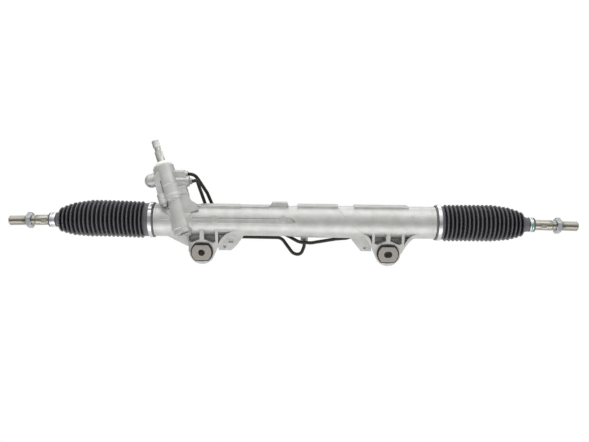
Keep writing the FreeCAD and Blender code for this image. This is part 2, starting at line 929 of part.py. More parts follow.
# Pinion end cap: a screwed plug with a hexagon socket in the bottom of the tower
cap_rows = [
    ("-tower_bottom + end_cap_recess", "0"),
    ("-tower_bottom + end_cap_recess", "end_cap_radius - 1"),
    ("-tower_bottom + end_cap_recess + 1", "end_cap_radius"),
    (CAP_TOP, "end_cap_radius"),
    (CAP_TOP, "0"),
]
cap_base = lathe("CapTurned", cap_rows, upright=True)
cap_socket = hexagon("CapSocket", "12", "3.5")
cap_socket.Placement = moved(0, 0, -size.tower_bottom - 0.5)
node("pinion_end_cap", cut("PinionEndCap", cap_base, cap_socket), TOWER)

# Bearings and seals of the pinion and of the input shaft
RINGS = {
    "pinion_lower_bearing": (
        "lower_journal_radius + running_fit",
        "lower_bearing_radius - seat_fit",
        LOWER_BEARING,
        LOWER_BEARING + " + lower_bearing_length",
    ),
    "pinion_upper_bearing": (
        "upper_journal_radius + running_fit",
        "upper_bearing_radius - seat_fit",
        UPPER_BEARING,
        UPPER_BEARING + " + upper_bearing_length",
    ),
    "pinion_seal": (
        "pinion_head_radius + running_fit",
        "upper_bearing_radius - seat_fit",
        "tower_top - 7",
        "tower_top - 1",
    ),
    "input_shaft_bearing": (
        "shaft_radius + running_fit",
        "valve_bore - seat_fit",
        "valve_top - top_seal_length - top_bearing_length - 1",
        "valve_top - top_seal_length - 1",
    ),
    "input_shaft_seal": (
        "shaft_radius + running_fit",
        "valve_bore - seat_fit",
        "valve_top - top_seal_length - 0.5",
        "valve_top - 0.5",
    ),
}
for name, (inner, outer, start, end) in RINGS.items():
    title = "".join(word.capitalize() for word in name.split("_"))
    node(name, ring(title, inner, outer, start, end, upright=True), TOWER)

# Dust cover: a moulded cone that seals the shaft where it leaves the valve housing
cover_rows = [
    ("valve_top", "valve_bore + 0.5"),
    ("valve_top", "valve_radius - 2.6"),
    ("valve_top + 2", "valve_radius - 2.6"),
    ("valve_top + dust_cover_height", "shaft_radius + 2.5"),
    ("valve_top + dust_cover_height", "shaft_radius + running_fit"),
    ("valve_top + dust_cover_height - 2", "shaft_radius + running_fit"),
]
node("dust_cover", lathe("DustCover", cover_rows, upright=True), TOWER)


# Gear outline with involute flanks, one tooth pointing along +Y
def pinion_outline():
    count = int(size.pinion_teeth)
    pitch = size.tooth_module * count / 2
    base = pitch * math.cos(math.radians(size.pressure_angle))
    tip = pitch + size.pinion_addendum
    root = pitch - size.rack_addendum - size.tooth_clearance

    def involute(angle):
        return math.tan(angle) - angle

    half_tooth = math.pi / (2 * count) + involute(math.radians(size.pressure_angle))
    steps = 4
    flank = [(root, half_tooth)]
    for step in range(steps + 1):
        radius = base + (tip - base) * step / steps
        flank.append((radius, half_tooth - involute(math.acos(base / radius))))
    points = []
    for tooth in range(count):
        middle = math.pi / 2 + 2 * math.pi * tooth / count
        rising = [(radius, middle - half) for radius, half in flank]
        falling = [(radius, middle + half) for radius, half in reversed(flank)]
        for radius, angle in rising + falling:
            points.append((radius * math.cos(angle), radius * math.sin(angle)))
    return points


# Pinion: a turned shaft with its teeth padded on, hollow for the torsion bar
def pinion():
    top = "pinion_head_top"
    play = "torsion_bar_radius + torsion_bar_play"
    root = "(tooth_module * pinion_teeth / 2 - rack_addendum - tooth_clearance)"
    rows = [
        (LOWER_BEARING, "0"),
        (LOWER_BEARING, "lower_journal_radius"),
        ("-pinion_tooth_half - 1", "lower_journal_radius"),
        ("-pinion_tooth_half - 1", root),
        ("pinion_tooth_half", root),
        (UPPER_BEARING + " - 1", "upper_journal_radius"),
        (UPPER_BEARING + " + upper_bearing_length", "upper_journal_radius"),
        (UPPER_BEARING + " + upper_bearing_length", "pinion_head_radius"),
        (top, "pinion_head_radius"),
        (top, "shaft_radius - 0.3"),
        (top + " - 10", "shaft_radius - 0.3"),
        (top + " - 10", play),
        ("pinion_tooth_half", play),
        ("pinion_tooth_half", "0"),
    ]
    body = lathe("Pinion", rows, upright=True)
    sketch = body.newObject("Sketcher::SketchObject", "PinionTeethOutline")
    sketch.AttachmentSupport = [(plane_of(body, "XY_Plane"), "")]
    sketch.MapMode = "FlatFace"
    sketch.addGeometry(outline_edges(pinion_outline()))
    teeth = body.newObject("PartDesign::Pad", "PinionTeeth")
    teeth.Profile = sketch
    teeth.SideType = "Symmetric"
    teeth.setExpression("Length", bound("2 * pinion_tooth_half"))
    return body


node("pinion", pinion(), TOWER)

# Valve sleeve, torsion bar and input shaft with its serrated end and clamp groove
sleeve = ring(
    "ValveSleeve",
    "rotor_radius + running_fit",
    "sleeve_radius",
    "pinion_head_top",
    "sleeve_top",
    upright=True,
)
node("valve_sleeve", sleeve, TOWER)
bar_start = "pinion_tooth_half + 0.5"
bar_rows = [
    (bar_start, "0"),
    (bar_start, "torsion_bar_radius"),
    ("shaft_tip - 2", "torsion_bar_radius"),
    ("shaft_tip - 2", "0"),
]
node("torsion_bar", lathe("TorsionBar", bar_rows, upright=True), TOWER)
shaft_play = "torsion_bar_radius + torsion_bar_play"
shaft_rows = [
    ("pinion_head_top - 9.5", shaft_play),
    ("pinion_head_top - 9.5", "shaft_radius - 0.6"),
    ("pinion_head_top + 0.3", "shaft_radius - 0.6"),
    ("pinion_head_top + 0.3", "rotor_radius"),
    ("sleeve_top", "rotor_radius"),
    ("sleeve_top + 0.5", "shaft_radius"),
    ("shaft_neck_low", "shaft_radius"),
    ("shaft_neck_low + 1", "shaft_neck_radius"),
    ("shaft_neck_high - 1", "shaft_neck_radius"),
    ("shaft_neck_high", "shaft_radius - 0.5"),
    ("shaft_tip - 1", "shaft_radius - 0.5"),
    ("shaft_tip", "shaft_radius - 1.5"),
    ("shaft_tip", shaft_play),
]
node("input_shaft", lathe("InputShaft", shaft_rows, upright=True), TOWER)


# Rack bar: round bar, milled flat towards the pinion, skewed tooth gaps, tapped ends
def tooth_gap_points():
    quarter = math.pi * size.tooth_module / 4 + size.tooth_backlash
    slope = math.tan(math.radians(size.pressure_angle))
    above = size.rack_addendum + 1
    below = size.pinion_addendum + size.tooth_clearance
    top = quarter + above * slope
    bottom = quarter - below * slope
    pitch_line = -size.pinion_offset + size.tooth_module * size.pinion_teeth / 2
    return [
        (-top, pitch_line - above),
        (-bottom, pitch_line + below),
        (bottom, pitch_line + below),
        (top, pitch_line - above),
    ]


# Cuts for the rack teeth: one skewed gap, repeated along the rack
def tooth_gaps():
    gap = doc.addObject("Sketcher::SketchObject", "ToothGapOutline")
    gap.addGeometry(outline_edges(tooth_gap_points()))
    skew = moved(-size.mesh_place, 0, 0) * rake * turned(BACK, -size.pinion_lean)
    reach = 2 * size.rack_radius
    gap.Placement = skew * moved(0, 0, -reach)
    prism = doc.addObject("Part::Extrusion", "ToothGap")
    prism.Base = gap
    prism.DirMode = "Custom"
    prism.Dir = skew.Rotation.multVec(UP)
    prism.LengthFwd = 2 * reach
    prism.Solid = True
    pitch = math.pi * size.tooth_module / math.cos(math.radians(size.pinion_lean))
    count = int(size.tooth_gaps)
    doc.recompute()
    copies = []
    for index in range(count):
        copy = doc.addObject("Part::Feature", "ToothGapCopy")
        copy.Shape = prism.Shape
        copy.Placement = moved((index - (count - 1) / 2) * pitch, 0, 0) * prism.Placement
        copies.append(copy)
    return copies


def rack_blank():
    half = "rack_half"
    bore = "stud_radius + seat_fit"
    rows = [
        ("-rack_half", bore),
        ("-rack_half", "rack_radius - 1"),
        ("-rack_half + 1", "rack_radius"),
        (half + " - 1", "rack_radius"),
        (half, "rack_radius - 1"),
        (half, bore),
        (half + " - stud_length - 2", bore),
        (half + " - stud_length - 2", "0"),
        ("-rack_half + stud_length + 2", "0"),
        ("-rack_half + stud_length + 2", bore),
    ]
    return lathe("RackBlank", rows)


def tooth_flat():
    land = size.pinion_offset - size.tooth_module * size.pinion_teeth / 2 + size.rack_addendum
    flat = doc.addObject("Part::Box", "ToothFlat")
    flat.Length = 2 * size.toothed_half
    flat.Width = size.rack_radius
    flat.Height = 2 * size.rack_radius + 2
    corner = moved(-size.toothed_half, -land - size.rack_radius, -size.rack_radius - 1)
    flat.Placement = moved(-size.mesh_place, 0, 0) * rake * corner
    return flat


rack_cuts = joined("RackCuts", [tooth_flat(), *tooth_gaps()])
node("rack_bar", cut("RackBar", rack_blank(), rack_cuts))

# Rack guide: a pad pressed against the back of the rack by a spring under a plug
guide_start = size.rack_radius * 0.55
guide_pad = cylinder("GuidePad", "guide_radius", "guide_length", GUIDE * moved(0, 0, guide_start))
rack_space = cylinder(
    "GuideRackSpace",
    "rack_radius + 0.15",
    "60",
    facing((-size.mesh_place - 30, 0, 0), (1, 0, 0)),
)
node("rack_guide", cut("RackGuide", guide_pad, rack_space))
guide_back = guide_start + size.guide_length
plug_start = size.guide_boss_reach - size.guide_plug_length + 4


# Two disc springs, back to back, press the guide against the rack
spring_start = str(guide_back + 0.2)
spring_end = str(plug_start - 0.2)
spring_middle = "(%s + %s) / 2" % (spring_start, spring_end)
spring_rows = [
    (spring_start, "spring_radius - 3"),
    (spring_middle, "spring_radius + 3.5"),
    (spring_end, "spring_radius - 3"),
    (spring_end, "spring_radius - 2"),
    (spring_middle, "spring_radius + 4.5"),
    (spring_start, "spring_radius - 2"),
]
node("rack_guide_spring", lathe("GuideSpring", spring_rows, upright=True), GUIDE)
plug = cylinder("GuidePlug", "guide_radius - seat_fit", "guide_plug_length", moved(0, 0, plug_start))
plug_socket = hexagon("GuidePlugSocket", "10", "6", moved(0, 0, size.guide_boss_reach - 1))
node("rack_guide_plug", cut("RackGuidePlug", plug, plug_socket), GUIDE)
lock_nut = hexagon("GuideLockNut", "guide_nut_width", "guide_nut_height")
lock_nut.Placement = moved(0, 0, size.guide_boss_reach)
lock_bore = cylinder("GuideLockBore", "guide_radius", "20", moved(0, 0, plug_start))
node("rack_guide_lock_nut", cut("RackGuideLockNut", lock_nut, lock_bore), GUIDE)

# Inner seal, end stopper and snap ring that close the hydraulic cylinder
STOPPER_END = "rack_half - rack_travel - 2 * stop_clearance - snap_ring_width"
CYLINDER_RINGS = {
    "cylinder_inner_seal": (
        "rack_radius + running_fit",
        "cylinder_bore - seat_fit",
        "-inner_seal_width",
        "0",
    ),
    "cylinder_end_stopper": (
        "rack_radius + running_fit",
        "cylinder_bore - seat_fit",
        STOPPER_END + " - stopper_width",
        STOPPER_END,
    ),
    "stopper_snap_ring": (
        "cylinder_bore - 1.8",
        "cylinder_bore + snap_ring_depth - seat_fit",
        STOPPER_END,
        STOPPER_END + " + snap_ring_width",
    ),
    "rack_piston": (
        "rack_radius + seat_fit",
        "cylinder_bore - 0.3",
        "piston_place - piston_width / 2",
        "piston_place + piston_width / 2",
    ),
    "piston_ring": (
        "cylinder_bore - piston_ring_depth + seat_fit",
        "cylinder_bore - running_fit",
        "piston_place - piston_ring_width / 2 + seat_fit",
        "piston_place + piston_ring_width / 2 - seat_fit",
    ),
}
for name, (inner, outer, start, end) in CYLINDER_RINGS.items():
    title = "".join(word.capitalize() for word in name.split("_"))
    turned_ring = ring(title, inner, outer, start, end)
    if name == "rack_piston":
        groove = ring(
            "PistonGroove",
            "cylinder_bore - piston_ring_depth",
            "cylinder_bore + 1",
            "piston_place - piston_ring_width / 2",
            "piston_place + piston_ring_width / 2",
        )
        turned_ring = cut("PistonGrooved", turned_ring, groove)
    node(name, turned_ring)


# Bush pieces lie along Y: pressed sleeve, rubber with its front disc, and the steel
# insert whose flat-sided plates take the bolt
def disc_with_flats(name, radius, flat, start, end):
    disc = doc.addObject("Part::Cylinder", name + "Disc")
    disc.setExpression("Radius", bound(radius))
    disc.Height = end - start
    disc.Placement = moved(0, start, 0) * turned(FORWARD, -90)
    flats = doc.addObject("Part::Box", name + "Flats")
    flats.setExpression("Length", bound("2 * %s" % radius))
    flats.setExpression("Height", bound("2 * %s" % flat))
    flats.Width = end - start
    flats.Placement = moved(-getattr(size, radius), start, -getattr(size, flat))
    return common(name, [disc, flats])


def bush_hole(side):
    reach = "2 * bush_half + 2"
    start = -size.bush_half - 1
    extra = size.bush_slot_extra if side == "right" else 0
    ends = []
    for offset in sorted({-extra, extra}):
        place = moved(offset, start, 0) * turned(FORWARD, -90)
        ends.append(cylinder("BushHole", "bush_hole_radius", reach, place))
    if extra:
        slot = doc.addObject("Part::Box", "BushSlot")
        slot.Length = 2 * extra
        slot.setExpression("Width", bound(reach))
        slot.setExpression("Height", bound("2 * bush_hole_radius"))
        slot.Placement = moved(-extra, start, -size.bush_hole_radius)
        ends.append(slot)
        return joined("BushOpening", ends)
    return ends[0]


def upright_bore(name, radius, place=Placement()):
    start = -size.bush_half - 1
    return cylinder(name, radius, "2 * bush_half + 2", moved(0, start, 0) * turned(FORWARD, -90))


for side in ("left", "right"):
    title = side.capitalize()
    half = size.eye_half
    plate_inner = size.bush_half - size.plate_thickness
    lying = moved(0, -half, 0) * turned(FORWARD, -90)
    tube = cylinder(title + "SleeveOuter", "bush_sleeve_radius", "2 * eye_half", lying)
    inside = upright_bore(title + "SleeveInner", "bush_sleeve_radius - bush_sleeve_wall")
    node(side + "_bush_sleeve", cut(title + "BushSleeve", tube, inside), BUSH[side])
    core = cylinder(
        title + "RubberCore", "bush_sleeve_radius - bush_sleeve_wall - seat_fit", "2 * eye_half", lying
    )
    front = disc_with_flats(
        title + "RubberFront", "rubber_disc_radius", "rubber_disc_flat", -plate_inner, -half
    )
    back = disc_with_flats(
        title + "RubberBack", "rubber_disc_radius", "rubber_disc_flat", half, plate_inner
    )
    rubber = joined(title + "RubberWhole", [core, front, back])
    rubber_bore = upright_bore(title + "RubberBore", "insert_radius + seat_fit")
    node(side + "_bush_rubber", cut(title + "BushRubber", rubber, rubber_bore), BUSH[side])
    lying = moved(0, -plate_inner, 0) * turned(FORWARD, -90)
    spool = cylinder(title + "InsertTube", "insert_radius", "2 * (bush_half - plate_thickness)", lying)
    near = disc_with_flats(
        title + "PlateFront", "plate_radius", "plate_flat", -size.bush_half, -plate_inner
    )
    far = disc_with_flats(title + "PlateBack", "plate_radius", "plate_flat", plate_inner, size.bush_half)
    insert = joined(title + "InsertWhole", [spool, near, far])
    node(side + "_bush_insert", cut(title + "BushInsert", insert, bush_hole(side)), BUSH[side])


# Bent steel pipe: straight runs joined by tangent arcs of one bend radius
def bent_path(points, bend):
    places = [Vector(*point) for point in points]
    edges = []
    start = places[0]
    for before, corner, after in zip(places, places[1:], places[2:]):
        arriving = (corner - before).normalize()
        leaving = (after - corner).normalize()
        turn = arriving.getAngle(leaving)
        room = min((corner - before).Length, (after - corner).Length) * 0.48
        radius = min(bend, room / math.tan(turn / 2))
        trim = radius * math.tan(turn / 2)
        inward = (leaving - arriving).normalize()
        middle = corner + inward * (radius / math.cos(turn / 2) - radius)
        first = corner - arriving * trim
        last = corner + leaving * trim
        edges.append(Part.LineSegment(start, first).toShape())
        edges.append(Part.Arc(first, middle, last).toShape())
        start = last
    edges.append(Part.LineSegment(start, places[-1]).toShape())
    return Part.Wire(edges)


def pipe(name, points):
    title = "".join(word.capitalize() for word in name.split("_"))
    path = doc.addObject("Part::Feature", title + "Path")
    path.Shape = bent_path(points, size.pipe_bend)
    mouth = doc.addObject("Part::Circle", title + "Mouth")
    mouth.setExpression("Radius", bound("pipe_radius"))
    direction = Vector(*points[1]) - Vector(*points[0])
    mouth.Placement = facing(points[0], direction)
    sweep = doc.addObject("Part::Sweep", title)
    sweep.Sections = [mouth]
    sweep.Spine = (path, ["Edge%d" % (index + 1) for index in range(len(path.Shape.Edges))])
    sweep.Solid = True
    sweep.Frenet = False
    return sweep


under = -size.middle_radius - size.pipe_radius - size.pipe_gap
cylinder_under = -size.cylinder_radius - size.pipe_radius - size.pipe_gap
lower_port = PIPE_PORTS["LowerPipePort"][0]
upper_port = PIPE_PORTS["UpperPipePort"][0]
left_port = CHAMBER_PORTS["LeftPort"][0]
right_port = CHAMBER_PORTS["RightPort"][0]
behind = -size.mesh_place
LEFT_PIPE = [
    (lower_port[0] - 8, lower_port[1], lower_port[2]),
    (lower_port[0] + 6, lower_port[1], lower_port[2]),
    (lower_port[0] + 14, lower_port[1] + 1, lower_port[2] + 2),
    (behind + 34, 20, 58),
    (behind + 41, 38, 26),
    (behind + 50, 38, -6),
    (behind + 71, 34, -24),
    (behind + 101, 18, under - 3),
    (-24, 17, under - 3.6),
    (-1, 10, -66),
    (left_port[0] - 6, left_port[1], -66),
    (left_port[0], left_port[1], -50),
    (left_port[0], left_port[1], left_port[2] + 6),
]
RIGHT_PIPE = [
    (upper_port[0] - 8, upper_port[1], upper_port[2]),
    (upper_port[0] + 12, upper_port[1], upper_port[2]),
    (behind + 33, 27, 70),
    (behind + 46, 38, 45),
    (behind + 56, 47, 16),
    (behind + 83, 46, -6),
    (behind + 143, 42, -16),
    (-32, 35, -27),
    (-8, 16, under - 1.6),
    (10, -7, cylinder_under - 4),
    (32, -8, cylinder_under - 5),
    (78, 4, cylinder_under),
    (100, 12, cylinder_under),
    (140, 34, -26),
    (right_port[0] - 20, 51, -14),
    (right_port[0], 51, 0),
    (right_port[0], right_port[1] - 6, 0),
]
node("left_chamber_pipe", pipe("left_chamber_pipe", LEFT_PIPE))
node("right_chamber_pipe", pipe("right_chamber_pipe", RIGHT_PIPE))


# Hexagon flare nuts where the pipes enter the castings
def pipe_nuts():
    entries = {
        "ValveNut": (lower_port, Vector(*LEFT_PIPE[1]) - Vector(*LEFT_PIPE[0]), "valve"),
        "LeftChamberNut": (left_port, Vector(0, 0, -1), "pipe"),
        "RightChamberNut": (right_port, Vector(0, 1, 0), "pipe"),
    }
    nuts = []
    for name, (point, direction, kind) in entries.items():
        place = facing(point, direction)
        body = hexagon(name + "Hexagon", kind + "_nut_width", kind + "_nut_height", place)
        bore = cylinder(name + "Bore", "pipe_radius + pipe_fit", "20", place * moved(0, 0, -5))
        nuts.append(cut(name, body, bore))
    return joined("PipeNuts", nuts)


node("pipe_nuts", pipe_nuts())


# Ribbed boot: bellows on the rack axis, then a cone down to the cuff on the tie rod
def crest_radius(index):
    from_end = int(size.boot_ribs) - 1 - index
    taper = (11.5, 8.3, 6, 4, 3, 2, 1)
    drop = taper[from_end] if from_end < len(taper) else 0
    return "boot_crest - %g" % drop


def boot(side):
    title = side.capitalize() + "Boot"
    count = int(size.boot_ribs)
    start = "housing_half"
    waist = "boot_valley"
    seat = "band_radius - band_wall - seat_fit"
    rows = [
        (start, "0"),
        (start, "boot_lip_radius - 1.5"),
        (start + " + 1.5", "boot_lip_radius"),
        (start + " + boot_lip - 1", "boot_lip_radius"),
        (start + " + boot_lip", seat + " - 1"),
        (start + " + boot_lip + 0.2", seat),
        (start + " + boot_lip + band_width + 0.6", seat),
        (start + " + boot_neck - boot_pitch / 2", waist + " + 1.2"),
    ]
    for index in range(count):
        crest = "boot_first_rib + %d * boot_pitch" % index
        radius = crest_radius(index)
        drop = radius.split(" - ")[1]
        rows.append((crest, radius))
        rows.append((crest + " + boot_pitch / 2", waist + " - " + drop))
    last = "boot_cone_start"
    rows.append((last, waist + " - " + drop))
    rows.append((last, "0"))
    bellows = lathe(title + "Bellows", rows)
    wide = size.boot_valley - float(drop)
    droop = turned(BACK, DROOP[side])
    rod_frame = moved(size.ball_place, 0, 0) * droop
    wide_place = moved(size.boot_cone_start, 0, 0) * turned(BACK, 90)
    cuff_place = rod_frame * moved(size.boot_cuff_start, 0, 0) * turned(BACK, 90)
    cone = ruled_cone(title + "Cone", str(wide), wide_place, "boot_cuff_radius", cuff_place)
    cuff = cylinder(title + "Cuff", "boot_cuff_radius", "boot_cuff_length", cuff_place)
    outer = joined(title + "Outside", [bellows, cone, cuff])
    inner_rows = [
        (start + " - 1", "0"),
        (start + " - 1", "boot_seat_radius + seat_fit"),
        (start + " + boot_seat + 0.3", "boot_seat_radius + seat_fit"),
        (start + " + boot_seat + 3", "boot_inner"),
        ("boot_first_rib + %d * boot_pitch" % (count - 6), "boot_inner"),
        ("boot_cone_start", str(wide - 2)),
        ("boot_cone_start", "0"),
    ]
    hollow = lathe(title + "Inside", inner_rows)
    fit = "rod_radius + running_fit"
    inner_cone = ruled_cone(title + "InnerCone", str(wide - 2), wide_place, fit, cuff_place)
    cuff_bore = cylinder(title + "CuffBore", fit, "boot_cuff_length + 1", cuff_place)
    inner = joined(title + "Hollow", [hollow, inner_cone, cuff_bore])
    return cut(title, outer, inner)


def ruled_cone(name, radius, place, end_radius, end_place):
    circles = []
    for part, size_text, where in (("Wide", radius, place), ("Narrow", end_radius, end_place)):
        circle = doc.addObject("Part::Circle", name + part)
        circle.setExpression("Radius", bound(size_text))
        circle.Placement = where
        circles.append(circle)
    loft = doc.addObject("Part::Loft", name)
    loft.Sections = circles
    loft.Solid = True
    loft.Ruled = True
    return loft


# Outline of a ball turned in straight cuts, from its mouth to its pole. The cuts lie
# outside the true ball in a cavity and inside it on a cup
def ball_rows(centre, radius, reach, mouth, around):
    cuts = int(size.ball_cuts)
    grow = 1
    for _ in range(4):
        first = math.acos(mouth / reach / grow)
        half_step = (math.pi - first) / cuts / 2
        grow = 1 / math.cos(half_step) if around else 1
    rows = []
    for index in range(cuts):
        angle = first + 2 * half_step * index
        along = "%s + (%s) * %.6f" % (centre, radius, grow * math.cos(angle))
        rows.append((along, "(%s) * %.6f" % (radius, grow * math.sin(angle))))
    rows.append(("%s - (%s) * %.6f" % (centre, radius, grow), "0"))
    return rows


for side in ("left", "right"):
    title = side.capitalize()
    out = END[side]
    rod = ROD[side]
    node(side + "_boot", boot(side), out)
    band = ring(
        title + "BootBand",
        "band_radius - band_wall",
        "band_radius",
        "housing_half + boot_lip + 0.3",
        "housing_half + boot_lip + 0.3 + band_width",
    )
    node(side + "_boot_band", band, out)
    clip = ring(
        title + "BootClip",
        "boot_cuff_radius + seat_fit",
        "clip_radius",
        "boot_cuff_start + boot_clip_inset",
        "boot_cuff_start + boot_clip_inset + clip_width",
    )
    node(side + "_boot_clip", clip, rod)

    # Inner ball joint: the socket screws into the rack over a claw washer
    face = "rack_half + claw_washer_width"
    washer = ring(
        title + "ClawWasher", "stud_radius + 0.3", "claw_washer_radius", "rack_half", face
    )
    node(side + "_claw_washer", washer, out)
    cavity = "ball_radius + ball_seat_wall + 2 * ball_fit"
    cavity_reach = size.ball_radius + size.ball_seat_wall + 2 * size.ball_fit
    socket_rows = [
        ("rack_half - stud_length", "0"),
        ("rack_half - stud_length", "stud_radius"),
        (face, "stud_radius"),
        (face, "socket_radius - 2"),
        (face + " + 2", "socket_radius"),
        ("ball_place + socket_mouth - 4", "socket_radius"),
        ("ball_place + socket_mouth", "socket_radius - 4"),
        *ball_rows("ball_place", cavity, cavity_reach, size.socket_mouth, around=True),
    ]
    node(side + "_ball_socket", lathe(title + "BallSocket", socket_rows), out)

    # Nylon seat: a cup round the ball, open towards the rod
    cup = "ball_radius + ball_seat_wall + ball_fit"
    cup_reach = size.ball_radius + size.ball_seat_wall + size.ball_fit
    hollow = "ball_radius + ball_fit"
    hollow_reach = size.ball_radius + size.ball_fit
    outside = ball_rows("0", cup, cup_reach, size.seat_mouth, around=False)
    inside = ball_rows("0", hollow, hollow_reach, size.seat_mouth, around=True)
    node(side + "_ball_seat", lathe(title + "BallSeat", outside[::-1] + inside), rod)

    # Tie rod: ball, neck, rod, wrench flats and threaded end
    rod_rows = [
        ("ball_radius * 0.6", "0"),
        ("ball_radius * 0.6", "neck_radius"),
        ("neck_end", "neck_radius"),
        ("neck_end + 5", "rod_radius"),
        ("rod_shoulder", "rod_radius"),
        ("rod_shoulder + 1.5", "thread_root_radius"),
        ("jam_nut_place + jam_nut_height + thread_run_out", "thread_root_radius"),
        ("jam_nut_place + jam_nut_height + thread_run_out", "thread_radius"),
        ("rod_length - 2", "thread_radius"),
        ("rod_length", "thread_radius - 2"),
        ("rod_length", "0"),
    ]
    shaft = lathe(title + "RodTurned", rod_rows)
    ball = solid("Sphere", title + "RodBall", Radius="ball_radius")
    whole = joined(title + "RodWhole", [shaft, ball])
    flats = []
    for sign in (-1, 1):
        flat = doc.addObject("Part::Box", title + "WrenchFlat")
        flat.setExpression("Length", bound("thread_start - rod_shoulder - 5"))
        flat.Width = 10
        flat.Height = 30
        front = size.wrench_width / 2 if sign > 0 else -size.wrench_width / 2 - 10
        flat.Placement = moved(size.rod_shoulder + 2, front, -15)
        flats.append(flat)
    node(side + "_tie_rod", cut(title + "TieRod", whole, joined(title + "Flats", flats)), rod)

    # Jam nut
    nut_place = moved(size.jam_nut_place, 0, 0) * turned(BACK, 90)
    nut = hexagon(title + "NutHexagon", "jam_nut_width", "jam_nut_height", nut_place)
    rounding_rows = [
        ("jam_nut_place", "0"),
        ("jam_nut_place", "jam_nut_width / 2"),
        ("jam_nut_place + 1.6", "jam_nut_width / 2 + 2.2"),
        ("jam_nut_place + jam_nut_height - 1.6", "jam_nut_width / 2 + 2.2"),
        ("jam_nut_place + jam_nut_height", "jam_nut_width / 2"),
        ("jam_nut_place + jam_nut_height", "0"),
    ]
    rounding = lathe(title + "NutRounding", rounding_rows)
    nut_bore = cylinder(
        title + "NutBore", "thread_root_radius + running_fit", "rod_length", turned(BACK, 90)
    )
    chamfered = common(title + "NutChamfered", [nut, rounding])
    node(side + "_jam_nut", cut(title + "JamNut", chamfered, nut_bore), rod)

doc.recompute()

for item in doc.Objects:
    if "Invalid" in item.State or "Error" in item.State:
        raise RuntimeError("%s failed to build" % item.Label)
os.makedirs("parts", exist_ok=True)
for name, piece in nodes.items():
    shape = piece.Shape
    if shape.isNull() or not shape.isValid() or shape.Volume <= 0:
        raise RuntimeError("%s has no valid solid" % name)
for name, piece in nodes.items():
    piece.Shape.exportStep("parts/%s.step" % name)
print("%d sub-parts written" % len(nodes))
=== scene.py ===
import json
import math

import bmesh
import bpy
from mathutils import Matrix, Vector


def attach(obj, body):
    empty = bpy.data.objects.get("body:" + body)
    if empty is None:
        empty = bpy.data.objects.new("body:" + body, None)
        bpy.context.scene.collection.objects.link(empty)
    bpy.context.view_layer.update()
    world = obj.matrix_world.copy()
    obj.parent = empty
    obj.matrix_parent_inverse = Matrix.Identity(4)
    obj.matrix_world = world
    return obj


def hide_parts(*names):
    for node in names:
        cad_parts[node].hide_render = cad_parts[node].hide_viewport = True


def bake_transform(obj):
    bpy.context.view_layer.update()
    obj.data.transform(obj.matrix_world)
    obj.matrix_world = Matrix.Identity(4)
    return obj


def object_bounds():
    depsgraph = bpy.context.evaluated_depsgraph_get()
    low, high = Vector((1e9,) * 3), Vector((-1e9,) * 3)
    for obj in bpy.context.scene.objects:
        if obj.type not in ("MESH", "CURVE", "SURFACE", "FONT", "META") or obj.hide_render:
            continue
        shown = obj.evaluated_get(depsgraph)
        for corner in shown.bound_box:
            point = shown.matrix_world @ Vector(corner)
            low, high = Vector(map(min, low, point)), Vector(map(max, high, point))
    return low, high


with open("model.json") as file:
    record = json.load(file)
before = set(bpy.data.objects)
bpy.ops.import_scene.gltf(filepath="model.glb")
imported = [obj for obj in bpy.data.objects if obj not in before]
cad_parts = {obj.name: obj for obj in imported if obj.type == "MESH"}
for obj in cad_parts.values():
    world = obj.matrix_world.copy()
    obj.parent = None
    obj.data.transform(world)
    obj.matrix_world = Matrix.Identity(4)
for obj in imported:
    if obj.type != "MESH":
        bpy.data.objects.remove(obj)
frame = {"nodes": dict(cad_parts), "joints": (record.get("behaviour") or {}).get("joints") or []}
cad_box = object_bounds()
nodes = frame["nodes"]
joints = {joint["name"]: joint for joint in frame["joints"]}


# Studio: white paper under the rack and a tent of softboxes round it. The camera sees plain
# white. The metal sees a sky that is bright above and below and dimmer at the height of the
# eye, which lays a soft grey band along the middle of each round casting
def linear(code):
    parts = [int(code[index : index + 2], 16) / 255 for index in (1, 3, 5)]
    tone = [part / 12.92 if part <= 0.04045 else ((part + 0.055) / 1.055) ** 2.4 for part in parts]
    return (*tone, 1.0)


def add_node(tree, kind, inputs=None, stops=(), **settings):
    made = tree.nodes.new("ShaderNode" + kind)
    for name, value in settings.items():
        setattr(made, name, value)
    for name, value in (inputs or {}).items():
        if isinstance(value, bpy.types.NodeSocket):
            tree.links.new(value, made.inputs[name])
        else:
            made.inputs[name].default_value = value
    if stops:
        points = made.color_ramp.elements
        while len(points) < len(stops):
            points.new(0.5)
        for point, (place, colour) in zip(points, stops):
            point.position = place
            point.color = linear(colour)
    return made


def white_to_camera(tree, plain, output):
    glow = add_node(tree, "Emission", {"Color": (1, 1, 1, 1), "Strength": 1.0})
    path = add_node(tree, "LightPath")
    inputs = {0: path.outputs["Is Camera Ray"], 1: plain, 2: glow.outputs[0]}
    chosen = add_node(tree, "MixShader", inputs)
    tree.links.new(chosen.outputs[0], output.inputs["Surface"])


MM = 0.001
left_ball = joints["left_ball_swing"]["pos_m"]
right_ball = joints["right_ball_swing"]["pos_m"]
rack_middle = (left_ball[0] + right_ball[0]) / 2
rack_height = left_ball[2]
scene = bpy.context.scene
scene.view_settings.view_transform = "Standard"

